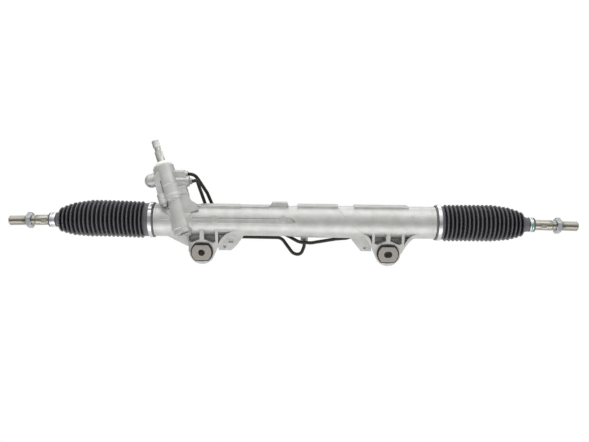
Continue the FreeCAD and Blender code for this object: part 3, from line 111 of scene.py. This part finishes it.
SKY_STOPS = [(0.0, "#FFFFFF"), (0.36, "#E4E4E4"), (0.5, "#8A8A8A")]
SKY_STOPS += [(0.62, "#A4A4A4"), (0.84, "#FFFFFF")]
sky = bpy.data.worlds.new("studio_sky")
scene.world = sky
sky.use_nodes = True
sky_tree = sky.node_tree
sky_tree.nodes.clear()
direction = add_node(sky_tree, "TexCoord").outputs["Generated"]
height = add_node(sky_tree, "SeparateXYZ", {"Vector": direction}).outputs["Z"]
share = add_node(sky_tree, "MapRange", {"Value": height, "From Min": -1, "From Max": 1}).outputs[0]
sky_colour = add_node(sky_tree, "ValToRGB", {"Fac": share}, SKY_STOPS).outputs["Color"]
sky_light = add_node(sky_tree, "Background", {"Color": sky_colour, "Strength": 1.0})
white_to_camera(sky_tree, sky_light.outputs[0], add_node(sky_tree, "OutputWorld"))

FLOOR_HALF = 6.0
FLOOR_DROP = 0.55
floor_height = cad_box[0].z - FLOOR_DROP
bpy.ops.mesh.primitive_plane_add(size=2 * FLOOR_HALF, location=(rack_middle, 0, floor_height))
floor = bpy.context.object
floor.name = "studio_floor"
paper = bpy.data.materials.new("white_paper")
paper.use_nodes = True
paper.node_tree.nodes.clear()
matt = add_node(paper.node_tree, "BsdfDiffuse", {"Color": linear("#F0F0F0")})
white_to_camera(paper.node_tree, matt.outputs[0], add_node(paper.node_tree, "OutputMaterial"))
floor.data.materials.append(paper)


# Lamps: one long softbox overhead, one behind, and one low in front, for the bright band
# along the underside of the tube. Places and sizes are in metres, and each lamp is aimed
# at the middle of the rack
def softbox(name, place, width, depth, watts):
    lamp = bpy.data.lights.new(name, "AREA")
    lamp.shape = "RECTANGLE"
    lamp.size = width
    lamp.size_y = depth
    lamp.energy = watts
    holder = bpy.data.objects.new(name, lamp)
    scene.collection.objects.link(holder)
    holder.location = place
    aim = Vector((rack_middle, 0, rack_height)) - Vector(place)
    holder.rotation_euler = aim.to_track_quat("-Z", "Y").to_euler()


softbox("top_softbox", (rack_middle, -0.15, 1.25), width=2.4, depth=0.8, watts=7)
softbox("back_softbox", (rack_middle, 0.9, 0.9), width=2.0, depth=0.6, watts=4)
softbox("low_softbox", (rack_middle, -0.5, -0.42), width=2.4, depth=0.4, watts=4)

# Camera: a long lens a little above the rack and square to it, rolled by a fraction of a
# degree. Its focal length is counted in pixels of the photo's width
CAMERA_DISTANCE = 1.1828
CAMERA_ELEVATION = math.radians(12.5)
CAMERA_ROLL = math.radians(0.68)
CAMERA_TARGET = Vector((0.17066, 0, 0.05458))
CAMERA_SIDE = 0.16865
FOCAL_PIXELS = 631.3
PHOTO_WIDTH = 589
SENSOR_WIDTH = 36
NEAR_LIMIT = 0.05
FAR_LIMIT = 50
camera_place = Vector((
    CAMERA_SIDE,
    -CAMERA_DISTANCE * math.cos(CAMERA_ELEVATION),
    CAMERA_TARGET.z + CAMERA_DISTANCE * math.sin(CAMERA_ELEVATION),
))
lens = bpy.data.cameras.new("photo_camera")
lens.sensor_fit = "HORIZONTAL"
lens.sensor_width = SENSOR_WIDTH
lens.lens = FOCAL_PIXELS / PHOTO_WIDTH * SENSOR_WIDTH
lens.clip_start = NEAR_LIMIT
lens.clip_end = FAR_LIMIT
camera = bpy.data.objects.new("photo_camera", lens)
scene.collection.objects.link(camera)
ahead = (CAMERA_TARGET - camera_place).normalized()
level = ahead.cross(Vector((0, 0, 1))).normalized()
upward = level.cross(ahead)
right = level * math.cos(CAMERA_ROLL) + upward * math.sin(CAMERA_ROLL)
above = upward * math.cos(CAMERA_ROLL) - level * math.sin(CAMERA_ROLL)
turn = Matrix((right, above, -ahead)).transposed()
camera.matrix_world = Matrix.Translation(camera_place) @ turn.to_4x4()
scene.camera = camera


# Castings: rack housing and valve housing, bare aluminium cast in a mould and shot-blasted,
# which gives a fine even grain and edges that are never sharp. Low lines and bosses of the
# casting and the lips that the boots sit against are added to the housing
def material(name, colour, metallic, roughness):
    made = bpy.data.materials.new(name)
    made.use_nodes = True
    tree = made.node_tree
    shader = tree.nodes["Principled BSDF"]
    shader.inputs["Base Color"].default_value = linear(colour)
    shader.inputs["Metallic"].default_value = metallic
    shader.inputs["Roughness"].default_value = roughness
    return made, tree, shader


# The grain of blasting, plating and tooling is finer than 0.5 mm on the real pieces. Here it
# is drawn at about 1 mm, as coarse as it needs to be to show from the camera
def grain(tree, grain_mm):
    place = add_node(tree, "TexCoord").outputs["Object"]
    inputs = {"Vector": place, "Scale": 1000 / grain_mm, "Detail": 4.0}
    return add_node(tree, "TexNoise", inputs).outputs["Fac"]


def roughen(tree, shader, grain_mm, depth_mm, strength, edge_mm=0.0):
    relief = grain(tree, grain_mm)
    inputs = {"Height": relief, "Distance": depth_mm / 1000, "Strength": strength}
    if edge_mm:
        soft_edge = add_node(tree, "Bevel", {"Radius": edge_mm / 1000}, samples=6)
        inputs["Normal"] = soft_edge.outputs[0]
    bump = add_node(tree, "Bump", inputs)
    tree.links.new(bump.outputs[0], shader.inputs["Normal"])


def dress(node, made):
    mesh = nodes[node].data
    mesh.materials.clear()
    mesh.materials.append(made)


# The pieces below are modelled in millimetres, in the frame, and come to metres here. Only
# edges sharper than the crease angle stay sharp. An open shell is laid facing outwards
def piece(name, bm, made, crease=35):
    limit = math.radians(crease)
    if all(len(edge.link_faces) == 2 for edge in bm.edges):
        bmesh.ops.recalc_face_normals(bm, faces=bm.faces)
    for face in bm.faces:
        face.smooth = True
    for edge in bm.edges:
        edge.smooth = len(edge.link_faces) == 2 and edge.calc_face_angle(0) < limit
    bmesh.ops.scale(bm, vec=(MM, MM, MM), verts=bm.verts)
    mesh = bpy.data.meshes.new(name)
    bm.to_mesh(mesh)
    bm.free()
    mesh.materials.append(made)
    obj = bpy.data.objects.new(name, mesh)
    scene.collection.objects.link(obj)
    return obj


# A turned shape: an outline of (place along the axis, radius) spun round the axis, backwards
# so that its faces point outwards. A ring has a closed outline, and a solid one has both
# its ends filled
def turned(bm, outline, steps, foot, axis, spoke=Vector((0, 1, 0)), ring=False, solid=False):
    corners = [bm.verts.new(foot + axis * along + spoke * radius) for along, radius in outline]
    pairs = list(zip(corners, corners[1:]))
    if ring:
        pairs.append((corners[-1], corners[0]))
    sides = [bm.edges.new(pair) for pair in pairs]
    full_turn = {"cent": foot, "axis": axis, "angle": -2 * math.pi, "steps": steps}
    bmesh.ops.spin(bm, geom=corners + sides, use_merge=True, **full_turn)
    if solid:
        bmesh.ops.holes_fill(bm, edges=[edge for edge in bm.edges if edge.is_boundary])


# A low raised strip, closed all round: its first end is a face, extruded on from one row
# of corners to the next. The faces left between the rows are taken out
def strip(bm, rows):
    ends = [bm.faces.new([bm.verts.new(corner) for corner in rows[0]])]
    for row in rows[1:]:
        made = bmesh.ops.extrude_face_region(bm, geom=[ends[-1]])["geom"]
        ends += [part for part in made if isinstance(part, bmesh.types.BMFace)]
        for corner, place in zip(ends[-1].verts, row):
            corner.co = place
    bmesh.ops.delete(bm, geom=ends[1:-1], context="FACES_ONLY")


# One raised line of the casting, laid on the tube through (x, angle) points, the angle
# counted up from the front. Its underside is sunk in the tube
def ridge(bm, points, radius, width, height):
    rows = []
    for index, (x, angle) in enumerate(points):
        before = points[max(index - 1, 0)]
        after = points[min(index + 1, len(points) - 1)]
        run = Vector((after[0] - before[0], math.radians(after[1] - before[1]) * radius))
        across = Vector((-run.y, run.x)).normalized() * width / 2
        row = []
        for share, lift in ((-1, -0.6), (-0.4, height), (0.4, height), (1, -0.6)):
            turn = math.radians(angle) + share * across.y / radius
            reach = radius + lift
            spot = (x + share * across.x, -reach * math.cos(turn), reach * math.sin(turn))
            row.append(rack_centre + Vector(spot))
        rows.append(row)
    strip(bm, rows)


cast_aluminium, tree, shader = material("cast_aluminium", "#BFBFBC", metallic=0.7, roughness=0.47)
CLOUD_STOPS = [(0.35, "#B9B9B6"), (0.65, "#C5C5C3")]
clouds = add_node(tree, "ValToRGB", {"Fac": grain(tree, 16)}, CLOUD_STOPS).outputs["Color"]
tree.links.new(clouds, shader.inputs["Base Color"])
roughen(tree, shader, grain_mm=1.3, depth_mm=0.14, strength=0.5, edge_mm=1.6)
dress("rack_housing", cast_aluminium)
dress("valve_housing", cast_aluminium)

rack_centre = Vector((rack_middle, 0, rack_height)) / MM
TUBE_RADIUS = 30
PINION_END_RADIUS = 30.5
CYLINDER_LINES = [
    [(84.9, 52), (92, 32), (101.3, 14), (107, 1), (113.7, -12), (125, -29), (134, -50)],
    [(181, 80), (181, 50), (181, 20), (181, -10), (181, -44)],
    [(217.5, 37.7), (211, 10), (205.7, -17)],
]
PINION_END_LINES = [[(x, angle) for x in (-250, -240, -226)] for angle in (27.8, 13.5)]
bm = bmesh.new()
for points in CYLINDER_LINES:
    ridge(bm, points, TUBE_RADIUS, width=1.8, height=0.6)
for points in PINION_END_LINES:
    ridge(bm, points, PINION_END_RADIUS, width=2.6, height=1.1)
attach(piece("casting_lines", bm, cast_aluminium), "housing")

BOSS_TILT = math.radians(18.7)
BOSS_OUTLINE = [(20, 7.3), (29.6, 7.3), (30.4, 6.7), (30.45, 0.5)]
boss_way = Vector((0, -math.cos(BOSS_TILT), math.sin(BOSS_TILT)))
bm = bmesh.new()
for x in (24.6, 150.2):
    foot = Vector((x, 0, rack_centre.z))
    turned(bm, BOSS_OUTLINE, 48, foot, boss_way, Vector((1, 0, 0)), solid=True)
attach(piece("casting_bosses", bm, cast_aluminium), "housing")

bm = bmesh.new()
for x, radius, way, reach in ((-85, PINION_END_RADIUS, -1, 4.0), (425, TUBE_RADIUS, 1, 7.4)):
    lip = [(-0.5, -2), (-0.5, 0), (reach - 0.6, 0), (reach, -0.6), (reach, -2)]
    outline = [(along, radius + lift) for along, lift in lip]
    turned(bm, outline, 72, Vector((x, 0, rack_centre.z)), Vector((way, 0, 0)), ring=True)
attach(piece("tube_collars", bm, cast_aluminium), "housing")

# Bushes: pressed steel plates and sleeves, plated a warm grey, bonded in black rubber and
# pressed into the brackets. The plates' edges are rounded by the press
bush_plate, tree, shader = material("bush_plate_steel", "#99938E", metallic=0.6, roughness=0.45)
roughen(tree, shader, grain_mm=1.0, depth_mm=0.05, strength=0.4, edge_mm=0.5)
bush_rubber = material("bush_rubber", "#1A1A1A", metallic=0.0, roughness=0.55)[0]
for side in ("left", "right"):
    dress(side + "_bush_insert", bush_plate)
    dress(side + "_bush_sleeve", bush_plate)
    dress(side + "_bush_rubber", bush_rubber)

# Input shaft: bare turned steel, bright with fine tool marks, with serrations rolled on
# both lands of the clamp neck. It stands in the valve housing, along its own joint's axis
shaft_steel, tree, shader = material("shaft_steel", "#BEBEBB", metallic=1.0, roughness=0.3)
roughen(tree, shader, grain_mm=0.8, depth_mm=0.02, strength=0.3)
shaft_joint = joints["input_shaft_twist"]
shaft_foot = Vector(shaft_joint["pos_m"]) / MM
shaft_axis = Vector(shaft_joint["axis"])
shaft_side = (Vector((1, 0, 0)) - shaft_axis * shaft_axis.x).normalized()
shaft_back = shaft_axis.cross(shaft_side)
SHAFT_BORE = 2.9
SERRATIONS = 36
TOOTH_DEPTHS = (0.0, 0.2, 0.35, 0.2)
SERRATED_LANDS = ((120, 134), (142.3, 155))
SHAFT_OUTLINE = [(36.6, SHAFT_BORE), (36.6, 6.9), (46.3, 6.9), (46.3, 9), (91, 9), (91.5, 7.5)]
SHAFT_OUTLINE += [(119, 7.5), (121, 7.5), (133.6, 7.5), (134.4, 6.6), (135, 5.7), (141, 5.7)]
SHAFT_OUTLINE += [(141.4, 6.3), (142, 7), (142.6, 7), (154.6, 7), (155.2, 6.8), (156, 6)]
SHAFT_OUTLINE.append((156, SHAFT_BORE))
corner_count = SERRATIONS * len(TOOTH_DEPTHS)
bm = bmesh.new()
turned(bm, SHAFT_OUTLINE, corner_count, shaft_foot, shaft_axis, shaft_side, ring=True)
for corner in bm.verts:
    spoke = corner.co - shaft_foot
    along = spoke.dot(shaft_axis)
    if any(start < along < end for start, end in SERRATED_LANDS):
        spoke -= shaft_axis * along
        turn = math.atan2(spoke.dot(shaft_back), spoke.dot(shaft_side))
        step = round(turn / (2 * math.pi) * corner_count)
        corner.co -= spoke.normalized() * TOOTH_DEPTHS[step % len(TOOTH_DEPTHS)]
obj = piece("serrated_shaft", bm, shaft_steel, crease=28)
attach(obj, "input_shaft")
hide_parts("input_shaft")

# Dust cover: cream moulded plastic, matt and very slightly uneven, with rounded edges. It
# is pushed on the top of the valve housing, round the shaft
cream_plastic, tree, shader = material("cream_plastic", "#F1EFE8", metallic=0.0, roughness=0.5)
roughen(tree, shader, grain_mm=2.0, depth_mm=0.03, strength=0.3, edge_mm=0.6)
dress("dust_cover", cream_plastic)

# Plugs, lock nut, pipe nuts and screws: turned and headed steel in a duller zinc plate,
# screwed into the castings. Their edges are broken by a small radius
dull_zinc, tree, shader = material("dull_zinc", "#A3A6A7", metallic=0.9, roughness=0.42)
roughen(tree, shader, grain_mm=0.8, depth_mm=0.05, strength=0.4, edge_mm=0.4)
dress("valve_housing_bolts", dull_zinc)
dress("pinion_end_cap", dull_zinc)
dress("rack_guide_plug", dull_zinc)
dress("rack_guide_lock_nut", dull_zinc)
dress("pipe_nuts", dull_zinc)

# Pipes: bent steel tube with a dark plated finish, smooth and a little shiny. They run
# from the valve housing to both ends of the cylinder
pipe_finish, tree, shader = material("dark_plated_steel", "#2E2D28", metallic=0.6, roughness=0.34)
roughen(tree, shader, grain_mm=1.5, depth_mm=0.05, strength=0.3)
dress("left_chamber_pipe", pipe_finish)
dress("right_chamber_pipe", pipe_finish)

# Tie rods: forged and turned steel in olive passivated zinc. A ball end, a neck, a rod with
# two ring marks and wrench flats, and a rolled M18 x 1.5 thread. Places along a rod are
# counted from the middle of its ball
yellow_zinc, tree, shader = material("yellow_zinc", "#A5A298", metallic=1.0, roughness=0.2)
roughen(tree, shader, grain_mm=1.2, depth_mm=0.02, strength=0.3)
SIGN = {"left": -1, "right": 1}
DROOP = {"left": 1.6, "right": 1.25}
BALL_PLACE = (right_ball[0] - left_ball[0]) / 2 / MM
BALL_RADIUS = 14
BALL_STEPS = 12
TIP_RADIUS = 0.05
NECK_RADIUS = 6.5
ROD_RADIUS = 9.6
RING_MARKS = (86.5, 102.1)
FLATS = (89, 99)
FLAT_HALF = 8.4
THREAD_PITCH = 1.5
THREAD_RADIUS = 9.0
THREAD_DEPTH = 0.75
THREAD_START = 111.5
THREAD_END = 156.9
ROWS_PER_PITCH = 6
ROD_END = {"left": 160.4, "right": 159.1}


def rod_outline(side):
    rod_end = ROD_END[side]
    neck_angle = math.pi - math.asin(NECK_RADIUS / BALL_RADIUS)
    rows = [(-BALL_RADIUS, TIP_RADIUS)]
    for step in range(1, BALL_STEPS + 1):
        angle = math.pi - neck_angle * step / BALL_STEPS
        rows.append((BALL_RADIUS * math.cos(angle), BALL_RADIUS * math.sin(angle)))
    rows += [(26, NECK_RADIUS), (31, ROD_RADIUS), (110.4, ROD_RADIUS), (111.2, THREAD_RADIUS)]
    for mark in RING_MARKS:
        rows += [(mark - 0.9, ROD_RADIUS), (mark - 0.5, THREAD_RADIUS)]
        rows += [(mark + 0.5, THREAD_RADIUS), (mark + 0.9, ROD_RADIUS)]
    for edge in FLATS:
        rows += [(edge - 0.1, ROD_RADIUS), (edge + 0.1, ROD_RADIUS)]
    rows.sort()
    row_step = THREAD_PITCH / ROWS_PER_PITCH
    count = int((rod_end - 1.5 - THREAD_START) / row_step)
    rows += [(THREAD_START + row_step * step, THREAD_RADIUS) for step in range(count)]
    rows += [(rod_end - 1.4, 8.5), (rod_end, 7.2), (rod_end, TIP_RADIUS)]
    return rows


def outward(side):
    return Vector((SIGN[side], 0, 0))


def rod_ways(side):
    slope = math.radians(DROOP[side])
    along_rod = Vector((SIGN[side] * math.cos(slope), 0, -math.sin(slope)))
    up_from_rod = Vector((SIGN[side] * math.sin(slope), 0, math.cos(slope)))
    ball = rack_centre + outward(side) * BALL_PLACE
    return ball, along_rod, up_from_rod


for side in ("left", "right"):
    ball, along_rod, up_from_rod = rod_ways(side)
    bm = bmesh.new()
    turned(bm, rod_outline(side), 48, ball, along_rod, solid=True)
    for corner in bm.verts:
        spoke = corner.co - ball
        along = spoke.dot(along_rod)
        spoke -= along_rod * along
        if THREAD_START - 0.1 < along < THREAD_END:
            turn = math.atan2(spoke.dot(up_from_rod), spoke.y)
            phase = (along / THREAD_PITCH - turn / (2 * math.pi)) % 1
            corner.co -= spoke.normalized() * THREAD_DEPTH * abs(2 * phase - 1)
        elif FLATS[0] < along < FLATS[1]:
            corner.co.y = max(-FLAT_HALF, min(FLAT_HALF, corner.co.y))
    obj = piece(side + "_rod", bm, yellow_zinc, crease=50)
    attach(obj, side + "_tie_rod")
    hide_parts(side + "_tie_rod")

# Jam nuts: thin steel hexagons of 27 mm, both ends chamfered round, in blue-white zinc.
# Each is run up the rod's thread and locks what the rod is screwed into
nut_zinc, tree, shader = material("blue_zinc", "#AEB2B4", metallic=1.0, roughness=0.22)
roughen(tree, shader, grain_mm=0.8, depth_mm=0.01, strength=0.3, edge_mm=0.3)
NUT_PLACE = 116.8
NUT_HEIGHT = 9.6
NUT_HALF = 13.5
NUT_BORE = 9.1
NUT_CHAMFER = [(0, 12.6), (0.25, 13.0), (1.1, 14.6)]
nut_outline = [(0, NUT_BORE)] + NUT_CHAMFER + [(1.8, 16), (NUT_HEIGHT - 1.8, 16)]
nut_outline += [(NUT_HEIGHT - along, radius) for along, radius in reversed(NUT_CHAMFER)]
nut_outline.append((NUT_HEIGHT, NUT_BORE))
for side in ("left", "right"):
    ball, along_rod, up_from_rod = rod_ways(side)
    foot = ball + along_rod * NUT_PLACE
    bm = bmesh.new()
    turned(bm, nut_outline, 72, foot, along_rod, ring=True)
    for corner in bm.verts:
        spoke = corner.co - foot
        spoke -= along_rod * spoke.dot(along_rod)
        turn = math.atan2(spoke.dot(up_from_rod), spoke.y)
        flat_middle = round(turn / (math.pi / 3)) * math.pi / 3
        past_flat = spoke.length - NUT_HALF / math.cos(turn - flat_middle)
        corner.co -= spoke.normalized() * max(past_flat, 0)
    obj = piece(side + "_nut", bm, nut_zinc, crease=22)
    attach(obj, side + "_tie_rod")
    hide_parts(side + "_jam_nut")

# Boots: moulded black rubber bellows with rounded ribs, satin, with a painted grey highlight on
# the open crests and painted shade in the valleys.
# Each is made in three pieces. It
# is clamped on the end of the tube and clipped on the rod
boot_rubber, tree, shader = material("boot_rubber", "#212024", metallic=0.0, roughness=0.42)
shader.inputs["Specular IOR Level"].default_value = 0.6

# The crests carry a painted grey highlight and the valleys painted black shade. The shader
# reads how open each spot of the rubber is within 5 mm and paints that into the colour
openness = add_node(tree, "AmbientOcclusion", {"Distance": 0.005}, samples=8).outputs["AO"]
# Stops run from painted shade in the valleys to a painted grey highlight on the crests
SHADE_AND_HIGHLIGHT_STOPS = [(0.45, "#0B0B0D"), (0.72, "#26252A"), (0.93, "#5C5A60")]
shade_and_highlight = add_node(tree, "ValToRGB", {"Fac": openness}, SHADE_AND_HIGHLIGHT_STOPS).outputs["Color"]
tree.links.new(shade_and_highlight, shader.inputs["Base Color"])
roughen(tree, shader, grain_mm=2.0, depth_mm=0.05, strength=0.3)

# Places along a boot are counted outwards from the middle of the rack
RIB_COUNT = {"left": 20, "right": 19}
FIRST_RIB = {"left": 283.1, "right": 282.3}
RIB_PITCH = 7.57
PITCH_GROWTH = {"left": 0.019, "right": 0.0175}
CREST = 34.4
VALLEY = 27.6
END_DROPS = [11.4, 8.3, 5.9, 3.7, 2.7, 1.7, 0.8]
RIB_RISE = {0.35: 0.12, 0.25: 0.48, 0.14: 0.86}
RIB_SHAPE = [(-share, RIB_RISE[share]) for share in RIB_RISE] + [(0, 1.0)]
RIB_SHAPE += [(share, RIB_RISE[share]) for share in sorted(RIB_RISE)]
FIRST_VALLEY_RISE = 2
BOW = {"left": 1.7, "right": 0.5}
BOW_MIDDLE = 365
BOW_HALF = 75
LIP_START = {"left": 258.7, "right": 262.1}
CLAMP_START = {"left": 261.5, "right": 265.1}
CLAMP_WIDTH = 6.6
LEFT_CUFF = [(437.4, 16.4), (439.4, 15), (442.8, 13.2), (443.6, 12.2), (454.5, 12.2)]
LEFT_CUFF += [(454.7, 13.2), (456.4, 13.2), (456.9, 12.6), (456.9, 9.7)]
RIGHT_CUFF = [(428.4, 16.2), (432, 14), (435, 13.3), (438.6, 13), (439.2, 12.2), (446, 12.2)]
RIGHT_CUFF += [(446.2, 13.4), (448.6, 13.4), (449.1, 12.8), (449.1, 9.7)]
CUFF = {"left": LEFT_CUFF, "right": RIGHT_CUFF}


def boot_outline(side):
    lip = LIP_START[side]
    clamp = CLAMP_START[side]
    rows = [(lip, 28.6), (lip, 31), (lip + 0.5, 32), (lip + 1.2, 32.5), (clamp - 0.3, 32.5)]
    rows += [(clamp, 32.2), (clamp + CLAMP_WIDTH, 32.2), (clamp + CLAMP_WIDTH + 1.2, 31.2)]
    rows.append((FIRST_RIB[side] - 4.5, 30.8))
    for index in range(RIB_COUNT[side]):
        crest = FIRST_RIB[side] + RIB_PITCH * index + PITCH_GROWTH[side] * index**2
        from_end = RIB_COUNT[side] - 1 - index
        drop = END_DROPS[from_end] if from_end < len(END_DROPS) else 0
        rise_here = FIRST_VALLEY_RISE if index == 0 else 0
        rows.append((crest - RIB_PITCH / 2, VALLEY - drop + rise_here))
        for share, rise in RIB_SHAPE:
            rows.append((crest + share * RIB_PITCH, VALLEY - drop + (CREST - VALLEY) * rise))
    return rows + CUFF[side]


def cut_outline(rows, start, end):
    joins = []
    for before, after in zip(rows, rows[1:]):
        for place in (start, end):
            if before[0] < place < after[0]:
                share = (place - before[0]) / (after[0] - before[0])
                joins.append((place, before[1] + share * (after[1] - before[1])))
    inside = [row for row in rows if start <= row[0] <= end]
    first = [row for row in joins if row[0] == start]
    last = [row for row in joins if row[0] == end]
    return first + inside + last


# Past the ball a boot hangs along the drooping rod, and its long middle bows up a little
def fall(side, along):
    return max(along - BALL_PLACE, 0) * math.tan(math.radians(DROOP[side]))


def hang(bm, side):
    for corner in bm.verts:
        along = SIGN[side] * (corner.co.x - rack_centre.x)
        arch = BOW[side] * max(0, 1 - ((along - BOW_MIDDLE) / BOW_HALF) ** 2)
        corner.co.z += arch - fall(side, along)


STRETCH_FROM = 272
STRETCH_TO = 370
BELLOWS_END = 373.2
SWING_FROM = 374
BEND_FROM = {"left": 408, "right": 400}
BEND_TO = {"left": 434, "right": 430}


# Title, the two ends of the piece, the two bodies it joins, and where it leaves one of
# them and reaches the other
def boot_parts(side):
    seat = side + "_ball_seat"
    rod = side + "_tie_rod"
    lip = LIP_START[side]
    bend = BEND_FROM[side]
    rim = CUFF[side][-1][0]
    return [
        ("bellows", lip, BELLOWS_END, "housing", "rack", STRETCH_FROM, STRETCH_TO),
        ("shoulder", BELLOWS_END, bend, "rack", seat, SWING_FROM, bend - 0.5),
        ("cuff", bend, rim, seat, rod, bend + 0.5, BEND_TO[side]),
    ]


for side in ("left", "right"):
    for title, start, end, near, far, begin, finish in boot_parts(side):
        bm = bmesh.new()
        outline = cut_outline(boot_outline(side), start, end)
        turned(bm, outline, 72, rack_centre, outward(side))
        hang(bm, side)
        obj = piece(f"{side}_boot_{title}", bm, boot_rubber, crease=60)
        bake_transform(obj)
        if title == "bellows":
            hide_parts(side + "_boot")

# Big boot clamps: bright zinc plated steel strip, rolled round the boot's lip. An ear is
# pinched up to tighten it, and the tail overlaps the strip beside the ear
bright_zinc, tree, shader = material("bright_zinc", "#CDCFD0", metallic=1.0, roughness=0.3)
roughen(tree, shader, grain_mm=0.8, depth_mm=0.04, strength=0.4)
STRIP_RADIUS = 32.35
STRIP_THICKNESS = 0.9
STRIP_ROUNDING = (0.4, 0.25)
PINCH_ANGLE = {"left": 128, "right": 60}
PINCH_HALF_ANGLE = 6.5
PINCH_HEIGHT = 2.0
PINCH_INSIDE_SHARE = 0.8
TAIL_ANGLES = (8, 33.5)
TAIL_HEIGHT = STRIP_THICKNESS * 0.8


def strip_lift(side, corner):
    spoke = corner.co - rack_centre
    degrees = math.degrees(math.atan2(spoke.z, spoke.y))
    past_ear = (degrees - PINCH_ANGLE[side] + 180) % 360 - 180
    lift = 0
    if abs(past_ear) < PINCH_HALF_ANGLE:
        lift = PINCH_HEIGHT * (1 - (past_ear / PINCH_HALF_ANGLE) ** 2) ** 0.5
    if math.hypot(spoke.y, spoke.z) < STRIP_RADIUS + STRIP_THICKNESS / 2:
        return lift * PINCH_INSIDE_SHARE
    if TAIL_ANGLES[0] < past_ear < TAIL_ANGLES[1]:
        lift += TAIL_HEIGHT
    return lift


for side in ("left", "right"):
    start = CLAMP_START[side]
    end = start + CLAMP_WIDTH
    outer = STRIP_RADIUS + STRIP_THICKNESS
    run_in, drop = STRIP_ROUNDING
    outline = [(start, STRIP_RADIUS), (start, outer - drop), (start + run_in, outer)]
    outline += [(end - run_in, outer), (end, outer - drop), (end, STRIP_RADIUS)]
    bm = bmesh.new()
    turned(bm, outline, 120, rack_centre, outward(side), ring=True)
    for corner in bm.verts:
        spoke = Vector((0, corner.co.y, corner.co.z - rack_centre.z)).normalized()
        corner.co += spoke * strip_lift(side, corner)
    obj = piece(side + "_clamp", bm, bright_zinc)
    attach(obj, "housing")
    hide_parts(side + "_boot_band")

# Small boot clips: sprung zinc plated strips, rolled with a ridge along each edge. They are
# squeezed open by two ears and grip the boot's cuff on the rod
CLIP_START = {"left": 443.9, "right": 439.4}
CLIP_WIDTH = {"left": 10.3, "right": 6.4}
CLIP_INSIDE = 12.3
CLIP_GROOVE = 12.6
CLIP_RIDGE = 13.6
EDGE_SHARE = 0.3
EAR_SIZE = (1.6, 1.0, 2.4)
EAR_REACH = 14.0
EAR_ANGLES = (62, 34)


def clip_outline(side):
    start = CLIP_START[side]
    end = start + CLIP_WIDTH[side]
    edge = CLIP_WIDTH[side] * EDGE_SHARE
    low = CLIP_RIDGE - 0.4
    rows = [(start, CLIP_INSIDE), (start, low), (start + 0.5, CLIP_RIDGE)]
    rows += [(start + edge, CLIP_RIDGE), (start + edge + 0.5, CLIP_GROOVE)]
    rows += [(end - edge - 0.5, CLIP_GROOVE), (end - edge, CLIP_RIDGE)]
    rows += [(end - 0.5, CLIP_RIDGE), (end, low), (end, CLIP_INSIDE)]
    return rows


def ear(bm, side, along, turn):
    outwards = Vector((0, math.cos(turn), math.sin(turn)))
    across = Vector((0, -math.sin(turn), math.cos(turn)))
    middle = rack_centre + outward(side) * along + outwards * EAR_REACH
    middle.z -= fall(side, along)
    width, thickness, height = EAR_SIZE
    sides = (outward(side) * width, across * thickness, outwards * height)
    place = Matrix.Translation(middle) @ Matrix(sides).transposed().to_4x4()
    corners = bmesh.ops.create_cube(bm, size=1, matrix=place)["verts"]
    edges = list({edge for corner in corners for edge in corner.link_edges})
    bmesh.ops.bevel(
        bm,
        geom=edges,
        offset=0.25,
        segments=2,
        profile=0.5,
        affect="EDGES",
        material=-1,
    )


for side in ("left", "right"):
    bm = bmesh.new()
    turned(bm, clip_outline(side), 48, rack_centre, outward(side), ring=True)
    hang(bm, side)
    start = CLIP_START[side]
    inset = CLIP_WIDTH[side] * EDGE_SHARE / 2 + 0.4
    ear(bm, side, start + inset, math.radians(EAR_ANGLES[0]))
    ear(bm, side, start + CLIP_WIDTH[side] - inset, math.radians(EAR_ANGLES[1]))
    obj = piece(side + "_clip", bm, bright_zinc)
    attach(obj, side + "_tie_rod")
    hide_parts(side + "_boot_clip")

# Paint mark: a dab of green inspection paint, brushed on the front of the right clip. It
# is a thin layer that fills the groove between the clip's two ridges
green_paint = material("green_paint", "#2F8F78", metallic=0.0, roughness=0.4)[0]
DAB_ROWS = [(440.2, 14), (440.9, 22), (443.9, 23), (445.2, 13)]
DAB_COLUMNS = [(1, 13.2), (1, 13.55), (0, 13.6), (-1, 13.55), (-1, 13.2)]
DAB_ANGLE = 184
rows = []
for along, half_angle in DAB_ROWS:
    row = []
    for share, reach in DAB_COLUMNS:
        turn = math.radians(DAB_ANGLE + share * half_angle)
        up = reach * math.sin(turn) - fall("right", along)
        row.append(rack_centre + Vector((along, reach * math.cos(turn), up)))
    rows.append(row)
bm = bmesh.new()
strip(bm, rows)
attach(piece("green_mark", bm, green_paint), "right_tie_rod")
